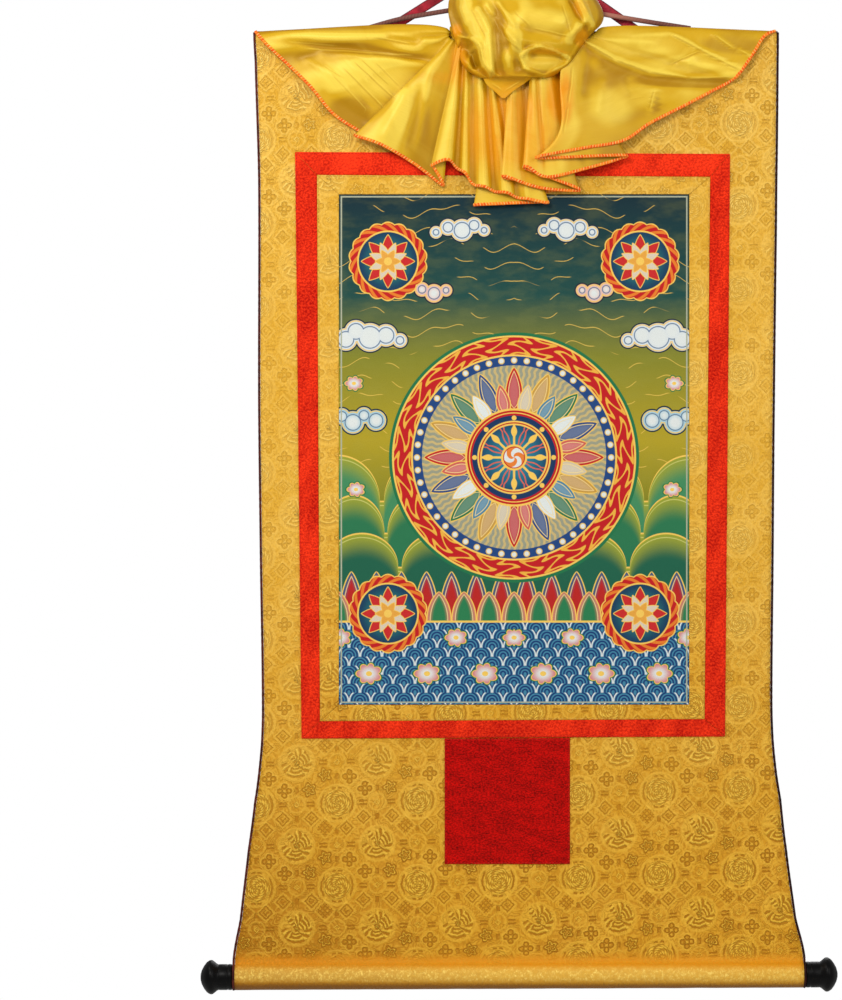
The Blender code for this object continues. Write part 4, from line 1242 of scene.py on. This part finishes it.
# soft forms of the puff, the same as the solid's: (across, row) to (across, row)
creaseRows = table("acrossFrom rowFrom acrossTo rowTo height width", [
    (0.14, 10.5, 0.29, 18, 5, 0.055), (0.05, 13, 0.18, 17, -6, 0.06),
    (0.27, 10, 0.47, 15, 3.5, 0.05), (0.38, 11, 0.36, 18, -4, 0.06),
    (0.47, 12.5, 0.83, 12, 5, 0.12), (0.48, 15.7, 0.92, 15.2, 4, 0.05),
    (0.52, 16.8, 0.90, 16.6, -5, 0.06), (0.86, 10, 0.80, 14.5, 3.5, 0.05),
])
# pressed folds across the cloth, in millimetres: from and to, height, width on the upper side
# and on the lower side, and the folds (or bunch rows) between which they run
pressColumns = "fromX fromDrop toX toDrop height upper lower first last"
skirtPresses = table(pressColumns, [
    # left wing: the rolled upper strip and the soft valley under it
    (-252, 86, -96, 92, 2.6, 5, 8, 0, 4), (-226, 93, -90, 112, -3.4, 5, 4, 0, 5),
    (-180, 104, -96, 115, 2.2, 3, 6, 0, 5), (-132, 88, -100, 95, -1.8, 3, 4, 0, 3),
    (-96, 92, -76, 93, 1.4, 3, 3, 0, 5),
    # its broad panel, with thin slanting creases and a fall to the hem
    (-172, 112, -132, 152, 1.2, 1.4, 1.2, 2, 6), (-160, 112, -124, 146, -1, 1.6, 1.6, 2, 6),
    (-186, 120, -150, 158, -1.3, 2, 2, 2, 6), (-148, 116, -118, 142, 1, 1.3, 1.3, 2, 6),
    (-212, 112, -180, 130, 0.9, 2.4, 2.4, 1, 5), (-222, 110, -200, 104, -1, 3, 3, 0, 4),
    (-200, 140, -150, 176, -2, 9, 7, 2, 5), (-113, 143, -136, 192, 2.4, 6, 6, 8, 11),
    (-98, 140, -112, 200, -1.6, 5, 5, 9, 12), (-88, 118, -101, 196, 1.2, 4, 4, 9, 12),
    (-120, 150, -150, 170, -0.9, 5, 5, 8, 11),
    # right wing: the long crease from the gather, with a hollow under it
    (62, 92, 96, 112, 2, 3.2, 2.4, 43, 50), (96, 112, 130, 123, 2, 3.2, 2.4, 43, 50),
    (130, 123, 168, 130, 1.9, 3.4, 2.4, 43, 51), (168, 130, 214, 128, 1.6, 3.4, 2.6, 44, 51),
    (66, 101, 98, 120, -2.2, 4, 6, 43, 50), (98, 120, 132, 131, -2.2, 4, 6, 43, 50),
    (132, 131, 210, 136, -2.2, 4, 6, 43, 51),
    # crossing creases pressed by its packing
    (152, 86, 222, 122, 2.2, 2.6, 1.8, 44, 52), (194, 86, 215, 101, 1.9, 2.2, 1.6, 46, 52),
    (149, 117, 181, 103, -1.3, 1.8, 1.8, 44, 52), (112, 88, 150, 86, 1.2, 3, 3, 46, 52),
    (218, 101, 234, 109, 1.8, 1.8, 1.6, 46, 52), (84, 92, 138, 94, 1.2, 3, 4, 45, 52),
    (178, 112, 214, 114, -1.2, 3, 3, 45, 52), (92, 104, 150, 110, -1, 4, 4, 44, 52),
    (136, 141, 130, 166, 1.6, 2, 4.5, 43, 48), (84, 132, 78, 168, 1.4, 7, 5, 42, 46),
    (94, 174, 150, 158, -1.2, 7, 7, 42, 47), (70, 108, 64, 150, -1.4, 5, 5, 42, 45),
    (104, 128, 112, 150, -0.8, 3, 3, 43, 47), (138, 145, 134, 166, -1.2, 3, 4, 43, 48),
    (176, 100, 168, 122, 0.7, 2, 3, 46, 52), (120, 100, 104, 116, -0.7, 4, 4, 45, 52),
    # soft ridges down the pleats in the middle
    (-6, 132, -6, 240, 1.6, 2.6, 2.6, 31, 35), (4, 132, 6, 240, -1.5, 2.4, 2.4, 31, 35),
    (14, 128, 22, 236, 1.5, 2.6, 2.6, 31, 36), (26, 126, 40, 232, -1.4, 2.6, 2.6, 31, 36),
    (18, 120, 24, 224, -1.5, 3, 3, 36, 39), (28, 118, 44, 222, 1.7, 2.8, 2.8, 36, 40),
    (38, 116, 62, 216, -1.5, 3, 3, 36, 40), (-26, 130, -22, 240, 1.2, 2, 2, 18, 25),
    (-14, 130, -6, 246, 1.2, 2, 2, 19, 25), (2, 130, 8, 250, 1.2, 2, 2, 20, 25),
])
bunchPresses = table(pressColumns, [
    # folds that run down from the cord on the left of the puff
    (-42, 62, -30, 87, 4.4, 4, 3, 9, 20), (-30, 87, -27, 131, 5.4, 2.6, 3, 12, 20),
    (-34, 58, -14, 87, 3.2, 3, 3, 9, 18), (-14, 87, 2, 107, 4, 2.6, 3.4, 12, 20),
    (-22, 56, -4, 84, 2.6, 2.4, 2.6, 9, 18), (-26, 70, -8, 100, -3, 3.4, 3.4, 9, 19),
    (-12, 100, 0, 124, -2.6, 4, 4, 12, 20),
    # the open pocket at the left, its cloth lying flat below the lip
    (-62, 89, -48, 93, 4, 2.4, 1.9, 11, 18), (-48, 93, -39, 101, 4.4, 2.4, 1.9, 11, 19),
    (-39, 101, -37, 116, 4.4, 2, 2.4, 12, 19), (-37, 116, -28, 131, 4, 2, 2.4, 13, 20),
    (-60, 100, -48, 104, -8, 5, 9, 11, 19), (-47, 106, -42, 122, -7, 5, 4, 12, 19),
    # the lip and pocket at the right
    (1, 113, 8, 106, 4.6, 2.4, 1.9, 13, 20), (8, 106, 18, 103, 4.6, 2.4, 1.9, 13, 20),
    (18, 103, 34, 106, 4.6, 2.4, 1.9, 13, 20), (34, 106, 52, 113, 4.6, 2.4, 1.9, 13, 20),
    (10, 111, 44, 111, -5, 3, 5, 13, 20), (2, 114, 6, 124, 3, 1.8, 1.8, 14, 20),
    (6, 124, 26, 130, 3.4, 2, 2.4, 14, 20), (26, 130, 50, 116, 3.4, 2.4, 2, 13, 20),
    (-22, 131, 10, 132, 3, 3, 3, 15, 20),
    # the wide lit hollow and the folds at its right
    (0, 64, 48, 78, 3.4, 8, 10, 9, 18), (-4, 84, 46, 93, -3.6, 6, 6, 10, 19),
    (50, 54, 68, 88, -4, 3.4, 3.4, 9, 17), (60, 54, 76, 84, 3, 2.4, 2.4, 9, 17),
    (52, 92, 66, 76, 2.4, 2.4, 2.4, 10, 18), (-58, 60, -52, 80, 2.4, 2.6, 2.6, 9, 16),
    (-8, 96, 40, 100, 1.6, 2.4, 3.4, 11, 19), (54, 98, 64, 92, -3, 3, 3, 12, 18),
])


def pressAt(presses, x, drop, index):
    total = 0.0
    for press in presses:
        if not press.first - 1 < index < press.last + 1:
            continue
        fade = smooth(index - press.first + 1) * smooth(press.last + 1 - index)
        start = Vector((press.fromX, press.fromDrop))
        along = Vector((press.toX, press.toDrop)) - start
        spot = Vector((x, drop)) - start
        share = spot.dot(along) / along.length_squared
        ends = smooth((share + 0.12) / 0.24) * smooth((1.12 - share) / 0.24)
        away = (along.x * spot.y - along.y * spot.x) / along.length
        width = press.upper if away * (1 if along.x > 0 else -1) < 0 else press.lower
        total += press.height * math.exp(-(away / width) ** 2) * ends * fade
    return total


def skirtPoints():
    columns = (len(foldRows) - 1) * veil["foldSteps"]
    rows = veil["rows"]
    grid = []
    for row in range(rows + 1):
        down = row / rows
        line = []
        for column in range(columns + 1):
            index = column / veil["foldSteps"]
            fold = splineRow(foldRows, index)
            x = fold.topX + (fold.hemX - fold.topX) * down
            x += fold.bow * math.sin(math.pi * down ** 2.4)
            drop = fold.topDrop + (fold.hemDrop - fold.topDrop) * down
            drop -= fold.rise * math.sin(math.pi * down ** 0.5) * (1 - 0.3 * down)
            forward = fold.topForward + (fold.hemForward - fold.topForward) * down
            forward += veil["belly"] * math.sin(math.pi * down)
            forward += pressAt(skirtPresses, x, drop, index)
            opened = smooth(down * 2.5)
            forward += opened * 0.35 * grain(index * 9, down * 26, 6)
            hemmed = smooth((down - 0.75) * 4)
            forward += hemmed * 0.45 * math.sin(index * 5.1) * grain(index * 3, 0, 4)
            line.append((x, drop, forward + hang(x, drop)))
        grid.append(line)
    return grid


def bunchPoints():
    steps = veil["bunchSteps"]
    rows = (len(bunchRows) - 1) * steps
    columns = veil["bunchColumns"]
    count = len(bunchRows)
    grid = []
    for row in range(rows + 1):
        index = row / steps
        section = splineRow(bunchRows, index)
        line = []
        for column in range(columns + 1):
            across = column / columns
            wide = 2 * across - 1
            angle = wide * math.pi / 2
            spread = veil["rounding"] * math.sin(angle) + (1 - veil["rounding"]) * wide
            turn = 1 - max(math.cos(angle), 0.0) ** veil["squareness"]
            forward = section.forward - section.turnedBack * turn
            for crease in creaseRows:
                start = Vector((crease.acrossFrom, crease.rowFrom / count))
                along = Vector((crease.acrossTo, crease.rowTo / count)) - start
                spot = Vector((across, index / count)) - start
                share = min(max(spot.dot(along) / along.length_squared, 0.0), 1.0)
                away = (spot - along * share).length / crease.width
                forward += crease.height * math.exp(-away * away)
            x = (section.left + section.right) / 2 + (section.right - section.left) / 2 * spread
            drop = section.drop + section.shoulder * wide * wide
            forward += pressAt(bunchPresses, x, drop, index)
            body = smooth(index / 4) * smooth((count - 1 - index) / 3)
            forward += body * 0.5 * grain(x, drop, 14, 9)
            line.append((x, drop, forward))
        grid.append(line)
    return grid


# the fold value: painted shade in the folds and painted highlight on the ridges of the satin
def foldShade(grid, reach):  # how far each point stands out from the cloth beside it, 0 to 1
    rows, columns = len(grid), len(grid[0])
    shade = []
    for row in range(rows):
        line = []
        for column in range(columns):
            low, high = max(column - reach, 0), min(column + reach, columns - 1)
            around = sum(grid[row][c][2] for c in range(low, high + 1)) / (high - low + 1)
            line.append(0.5 + (grid[row][column][2] - around) / veil["shadeDepth"])
        shade.append(line)
    return shade


# painted highlights on open panels of the satin that catch the light: middle, half width and half
# height, how pale, and under 0 a painted warm glow in the places between the folds
paintedLightRows = table("x drop wide tall pale", [
    (-150, 128, 46, 24, 0.95), (-176, 86, 60, 6, 0.45), (-118, 156, 9, 30, 0.9),
    (26, 76, 28, 13, 1), (-30, 70, 7, 26, 0.55), (118, 96, 52, 16, 0.75), (92, 160, 24, 20, 1),
    (160, 116, 40, 10, 0.8), (118, 148, 30, 12, 0.5), (-4, 185, 62, 56, -0.75),
    (38, 152, 16, 34, -0.95), (-60, 118, 10, 30, -0.7), (62, 92, 9, 10, -0.7),
    (28, 107, 24, 3, -0.5), (26, 118, 22, 8, 0.6), (-62, 84, 6, 8, -0.8), (62, 62, 9, 12, -0.5),
    (46, 152, 9.5, 36, -1), (-28, 104, 5, 24, 0.8), (-50, 130, 60, 8, -0.3),
])


# places of the satin in painted shade: middle, half width and half height, how dark
paintedShadeRows = table("x drop wide tall dark", [
    (-190, 93, 62, 6, 0.30), (-140, 107, 56, 6, 0.34), (-174, 162, 26, 18, 0.30),
    (214, 96, 42, 13, 0.34), (160, 134, 58, 7, 0.40), (88, 128, 26, 16, 0.28),
    (150, 150, 18, 10, 0.18), (-49, 112, 12, 20, 0.48), (4, 127, 34, 4, 0.30),
    (137, 153, 4, 12, 0.45), (-8, 121, 13, 8, 0.26), (-96, 180, 9, 36, 0.16),
    (-2, 136, 20, 6, 0.22), (28, 84, 40, 6, 0.16),
])


# sharp creases that the cloth kept from its packing: from and to, how wide, how strong,
# and a layer, which creases that lie close together do not share
# creases the cloth really has, each drawn as a painted highlight line above it and a painted shade
# line below it, with a little bump
sharpRows = table("fromX fromDrop toX toDrop wide strong layer", [
    # left wing: a fan of slanting creases, and the fold line above them
    (-176, 118, -133, 161, 1.1, 0.8, 0), (-165, 112, -121, 152, 1, 0.9, 0),
    (-158, 110, -127, 138, 0.8, 0.7, 1), (-187, 124, -150, 164, 1, 0.5, 0),
    (-144, 113, -117, 139, 0.9, 0.6, 0), (-196, 116, -172, 131, 0.9, 0.5, 1),
    (-214, 101, -104, 108, 1.3, 0.6, 0), (-146, 89, -106, 96, 1.1, 0.8, 0),
    (-232, 94, -180, 98, 1.1, 0.4, 1),
    # right wing: the long crease from the gather and the ones that cross it
    (62, 92, 98, 112, 1.4, 1, 0), (96, 111, 132, 124, 1.4, 1, 1),
    (130, 123, 170, 130, 1.4, 0.9, 0), (168, 130, 212, 129, 1.3, 0.7, 1),
    (152, 86, 222, 122, 1.3, 1, 0), (195, 86, 215, 101, 1.2, 0.9, 0),
    (218, 101, 232, 108, 1.2, 0.8, 1), (150, 117, 182, 102, 1, 0.8, 1),
    (136, 140, 130, 164, 1.2, 0.8, 0), (108, 152, 128, 148, 0.8, 0.3, 1),
    # the fold beside the pleats, with a painted warm glow inside it
    (54, 118, 49, 160, 1.3, 0.9, 0), (49, 158, 44, 190, 1.2, 0.8, 1),
    (20, 140, 24, 180, 1.2, 0.5, 0),
    # puff: the edge of the pocket at the left, and two pulls from the cord
    (-61, 90, -47, 94, 1, 0.8, 0), (-47, 94, -39, 103, 1, 0.9, 1),
    (-39, 102, -36, 118, 1, 0.9, 0), (-16, 92, 2, 108, 1, 0.6, 0), (-6, 66, 12, 84, 1.2, 0.7, 0),
    (12, 84, 51, 92, 1.2, 0.8, 1), (42, 58, 52, 92, 1.1, 0.6, 0), (-48, 62, -31, 96, 1.1, 0.6, 0),
    (-29, 136, -15, 145, 0.9, 0.7, 0), (-15, 145, 3, 134, 0.9, 0.7, 1),
])


# how far off a crease is felt, in millimetres, how it ends and how it fades to its sides
creaseReach = {"none": 6.0, "side": 5.5, "end": 7.0, "fadeAt": 4.0, "fadeOver": 1.6}


def sharpAt(layer, x, drop):  # widths away from the nearest crease of a layer, and its strength
    nearest, strength = creaseReach["none"], 0.0
    for row in sharpRows:
        if row.layer != layer:
            continue
        length = math.hypot(row.toX - row.fromX, row.toDrop - row.fromDrop)
        runX, runDrop = (row.toX - row.fromX) / length, (row.toDrop - row.fromDrop) / length
        along = (x - row.fromX) * runX + (drop - row.fromDrop) * runDrop
        away = (x - row.fromX) * runDrop - (drop - row.fromDrop) * runX
        side = min(abs(nearest) * row.wide, creaseReach["side"])
        if abs(away) < side and 0 < along < length:
            nearest = away / row.wide
            strength = (row.strong * smooth(along / creaseReach["end"])
                        * smooth((length - along) / creaseReach["end"])
                        * smooth((creaseReach["fadeAt"] - abs(away)) / creaseReach["fadeOver"]))
    return nearest, strength


def inPatch(row, x, drop, core, rim):  # 1 in the middle of an oval patch, 0 past its rim
    away = math.hypot((x - row.x) / row.wide, (drop - row.drop) / row.tall)
    return 1 - smooth((away - core) / rim)


def paintedShadeAt(x, drop):
    return max(dim.dark * inPatch(dim, x, drop, 0.4, 0.8) for dim in paintedShadeRows)


def paintedLightAt(x, drop):
    values = [panel.pale * inPatch(panel, x, drop, 0.45, 0.75) for panel in paintedLightRows]
    return max(values + [0.0]) + min(values + [0.0])


def veilSheet(name, grid, reach):
    rows, columns = len(grid) - 1, len(grid[0]) - 1
    piece = gridPiece(
        name, columns, rows,
        lambda column, row: place(*grid[row][column]),
        lambda column, row: (column * veil["threadAcross"], row * veil["threadDown"]),
        finish["satin"],
    )
    shade = foldShade(grid, reach)
    values = {"fold": [], "panel": []}
    for layer in creaseLayers:
        values["crease" + layer], values["sharp" + layer] = [], []
    for made in values:
        piece.data.attributes.new(made, "FLOAT", "POINT")
    for row in range(rows + 1):
        for column in range(columns + 1):
            x, drop, forward = grid[row][column]
            values["fold"].append(min(max(shade[row][column] - paintedShadeAt(x, drop), 0.0), 1.0))
            values["panel"].append(paintedLightAt(x, drop))
            for layer in creaseLayers:
                away, strength = sharpAt(int(layer), x, drop)
                values["crease" + layer].append(away)
                values["sharp" + layer].append(strength)
    for made in values:
        piece.data.attributes[made].data.foreach_set("value", values[made])
    thicken(piece, veil["thick"])
    return piece


# a wound band round the hem and slanted stitches on it, in millimetres
overlockEdge = {
    "pitch": 1.5, "sides": 8, "middle": 1.05, "reach": 1.6, "thick": 0.62,
    "from": -0.35, "to": 2.75, "slant": 1.0, "fromLift": 0.45, "toLift": 0.42,
    "stitchWide": 0.42, "stitchLift": 0.30,
}


def makeOverlock(grid):
    edge = overlockEdge
    rows = len(grid) - 1
    hem = [place(*point) for point in grid[rows]]
    above = [place(*point) for point in grid[rows - 2]]
    # even steps along the hem, with the way into the cloth at each
    runs = [0.0]
    for before, here in zip(hem, hem[1:]):
        runs.append(runs[-1] + (here - before).length)
    count = int(runs[-1] / (edge["pitch"] * mm))
    spots = []
    at = 0
    for step in range(count + 1):
        run = runs[-1] * step / count
        while at < len(runs) - 2 and runs[at + 1] < run:
            at += 1
        share = (run - runs[at]) / max(runs[at + 1] - runs[at], 1e-9)
        spot = hem[at].lerp(hem[at + 1], share)
        inward = (above[at].lerp(above[at + 1], share) - spot).normalized()
        along = (hem[at + 1] - hem[at]).normalized()
        inward = (inward - along * inward.dot(along)).normalized()
        spots.append((spot, along, inward, along.cross(inward).normalized()))
    # a flat wound band right round the cut edge
    points, faces = [], []
    for spot, along, inward, up in spots:
        for turn in range(edge["sides"]):
            angle = 2 * math.pi * turn / edge["sides"]
            reach = edge["middle"] + edge["reach"] * math.cos(angle)
            points.append(spot + inward * reach * mm + up * edge["thick"] * math.sin(angle) * mm)
    bridgeRings(faces, 0, edge["sides"], len(spots))
    made = [meshPiece("overlockBand", points, faces, finish["overlock"])]
    # slanted stitches on both faces of it, in two colours by turns
    for odd, (name, material) in enumerate((("overlockStitches", "overlock"),
                                            ("paleStitches", "overlockPale"))):
        verts, faces = [], []
        for spot, along, inward, up in spots[odd:-1:2]:
            for face in (1, -1):
                start = spot + inward * edge["from"] * mm + up * face * edge["fromLift"] * mm
                end = (spot + (inward * edge["to"] + along * edge["slant"]) * mm
                       + up * face * edge["toLift"] * mm)
                stitchForm(verts, faces, start, end, edge["stitchWide"] * mm,
                           edge["stitchLift"] * mm, up * face)
        made.append(meshPiece(name, verts, faces, finish[material]))
    for piece in made:
        turnFacesOut(piece)
        declare(piece, "yellow_satin")
    return made


skirtGrid = skirtPoints()
veilPiece = veilSheet("veilCloth", skirtGrid, veil["skirtReach"])
bunchPiece = veilSheet("veilBunch", bunchPoints(), veil["bunchReach"])
pickOnly(veilPiece)
bunchPiece.select_set(True)
bpy.ops.object.join()
declare(veilPiece, "yellow_satin", "veil")
overlock = makeOverlock(skirtGrid)
veilArea = layerArea(veilPiece)
print("veil: cloth area", round(veilArea, 4))


# hangers
cordRoute = table("x drop forward", [
    (-152, 79.2, -2), (-120, 70.4, 0), (-90, 65, 1), (-60, 60.2, 2.4), (-30, 55.4, 4.4),
    (-14, 52.8, 5.1), (-3.5, 51.9, 5.3), (8, 52.8, 5.1), (26, 55.6, 4.4), (56, 60.5, 2.4),
    (90, 66.3, 1), (130, 72.9, 0), (172, 79.2, -2),
])


cord = {"radius": 2.45, "across": 5, "sides": 24, "steps": 400, "groove": 0.02, "twist": 480}


def makeCord():
    last = len(cordRoute) - 1
    rows = [splineRow(cordRoute, last * step / cord["steps"]) for step in range(cord["steps"] + 1)]
    path = [place(row.x, row.drop, row.forward) for row in rows]

    def strands(angle, run):
        ridge = abs(math.cos(angle * 1.5 - run * cord["twist"]))
        return 1 - cord["groove"] + cord["groove"] * ridge

    piece = tubePiece("hangingCord", path, cord["radius"], cord["sides"], finish["cord"], strands)
    declare(piece, "brown_cord", "hanging_cord")
    length = sum((b - a).length for a, b in zip(path, path[1:]))
    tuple(path[0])
    print("cord: length", round(length, 4))


ribbon = {"wide": 9.5, "thick": 0.9, "cadThick": 1.2, "bend": 18.0, "slopes": (1.565, 1.396),
          "foot": 88.0, "lathBack": -5.05, "gap": 0.3, "steps": 28, "columns": 8, "crown": 0.25}


def ribbonRoute(steps):
    leftAngle = math.atan(1 / ribbon["slopes"][0])
    rightAngle = math.atan(1 / ribbon["slopes"][1])
    behind = ribbon["lathBack"] - ribbon["gap"] - ribbon["cadThick"] / 2
    bend = []
    for step in range(steps + 1):
        angle = -leftAngle + (leftAngle + rightAngle) * step / steps
        bend.append((ribbon["bend"] * math.sin(angle), ribbon["bend"] * (1 - math.cos(angle))))
    foot = ribbon["foot"]
    startX, startDrop = bend[0]
    endX, endDrop = bend[-1]
    leftFoot = startX - (foot - startDrop) * ribbon["slopes"][0]
    rightFoot = endX + (foot - endDrop) * ribbon["slopes"][1]
    points = [(leftFoot + (startX - leftFoot) * s / steps, foot + (startDrop - foot) * s / steps)
              for s in range(steps)]
    points += bend
    points += [(endX + (rightFoot - endX) * s / steps, endDrop + (foot - endDrop) * s / steps)
               for s in range(1, steps + 1)]
    return [(x, drop, -planeInFront + (behind + planeInFront) * drop / foot) for x, drop in points]


def makeRibbon():
    route = ribbonRoute(ribbon["steps"])
    rows = len(route) - 1
    columns = ribbon["columns"]
    path = [place(*point) for point in route]
    runs = [0.0]
    for before, here in zip(path, path[1:]):
        runs.append(runs[-1] + (here - before).length)

    def sideAt(column):
        return (column / columns - 0.5) * ribbon["wide"]

    def pointAt(column, row):
        x, drop, forward = route[row]
        before, after = route[max(row - 1, 0)], route[min(row + 1, rows)]
        along = Vector((after[0] - before[0], after[1] - before[1])).normalized()
        x -= along.y * sideAt(column)
        drop += along.x * sideAt(column)
        crown = ribbon["crown"] * (1 - (2 * column / columns - 1) ** 2)
        return place(x, drop, forward + crown)

    piece = gridPiece("hangingRibbon", columns, rows, pointAt,
                      lambda column, row: (sideAt(column) * mm, runs[row]), finish["ribbon"])
    thicken(piece, ribbon["thick"])
    declare(piece, "crimson_ribbon", "hanging_ribbon")
    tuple(path[0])
    print("ribbon: length", round(runs[-1], 4))


makeCord()
makeRibbon()


# knobs
knob = {"gap": 0.3, "stickLeft": -286.0, "stickRight": 287.0, "sides": 72, "face": 12.4,
        "crisp": 0.25, "sharpOver": math.radians(35),
        # distance along from the stick's end, radius
        "turning": [(0.6, 12.9), (3.4, 12.9), (3.9, 12.5), (4.5, 12.5), (5.0, 12.9), (12.6, 12.9),
                    (13.4, 12.6), (14.2, 13.0), (15.5, 13.7), (17.5, 15.4), (19.3, 16.8),
                    (20.8, 17.15), (22.6, 16.8), (25.4, 14.9), (28.2, 11.2), (29.6, 8.4),
                    (30.0, 7.8), (30.5, 6.6), (31.5, 3.0)]}


def makeKnob(name, side, node):
    end = knob["stickLeft"] if side < 0 else knob["stickRight"]
    x = end + side * knob["gap"]
    drop = mount["stickDrop"] + mount["tilt"] * x
    start = place(x, drop, 0)
    bpy.ops.object.select_all(action="DESELECT")
    bpy.ops.mesh.primitive_circle_add(vertices=knob["sides"], radius=knob["face"] * mm,
                                      fill_type="NGON", location=start,
                                      rotation=(0, math.pi / 2, 0))
    piece = bpy.context.active_object
    piece.name = piece.data.name = name
    bpy.ops.object.transform_apply(location=True, rotation=True, scale=True)
    bpy.ops.object.mode_set(mode="EDIT")
    bpy.ops.mesh.select_all(action="SELECT")
    along, radius = 0.0, knob["face"]
    for nextAlong, nextRadius in knob["turning"]:
        bpy.ops.mesh.extrude_region_move(
            TRANSFORM_OT_translate={"value": (side * (nextAlong - along) * mm, 0, 0)})
        bpy.ops.transform.resize(value=(1, nextRadius / radius, nextRadius / radius),
                                 center_override=start)
        along, radius = nextAlong, nextRadius
    bpy.ops.mesh.select_all(action="SELECT")
    bpy.ops.mesh.normals_make_consistent(inside=False)
    bpy.ops.transform.rotate(value=-math.atan(mount["tilt"]), orient_axis="Y",
                             center_override=start)
    bpy.ops.object.mode_set(mode="OBJECT")
    finishWith(piece, finish["lacquer"])
    pickOnly(piece)
    roundEdges(piece, knob["crisp"], knob["sharpOver"])
    bpy.ops.object.shade_smooth_by_angle(angle=knob["sharpOver"])
    declare(piece, "black_lacquer", node)


makeKnob("leftKnob", -1, "knob_left")
makeKnob("rightKnob", 1, "knob_right")
print("knobs: done")


# woods kept from the frame
finishWith(bpy.data.objects["top_lath"], finish["lath"])
finishWith(bpy.data.objects["bottom_stick"], finish["stick"])

veilTall = round(veilArea / veil["flatShare"] / veil["flatWide"], 3)


# floor
bpy.ops.object.select_all(action="DESELECT")
bpy.ops.mesh.primitive_circle_add(vertices=96, radius=studio["floorRadius"], fill_type="NGON",
                                  location=(0, 0, -studio["floorDrop"]))
floor = bpy.context.active_object
floor.name = "floor"
paleFloor = Finish("paleFloor")
paleFloor.set(colour=(0.82, 0.82, 0.81), roughness=0.8)
floor.data.materials.append(paleFloor.material)
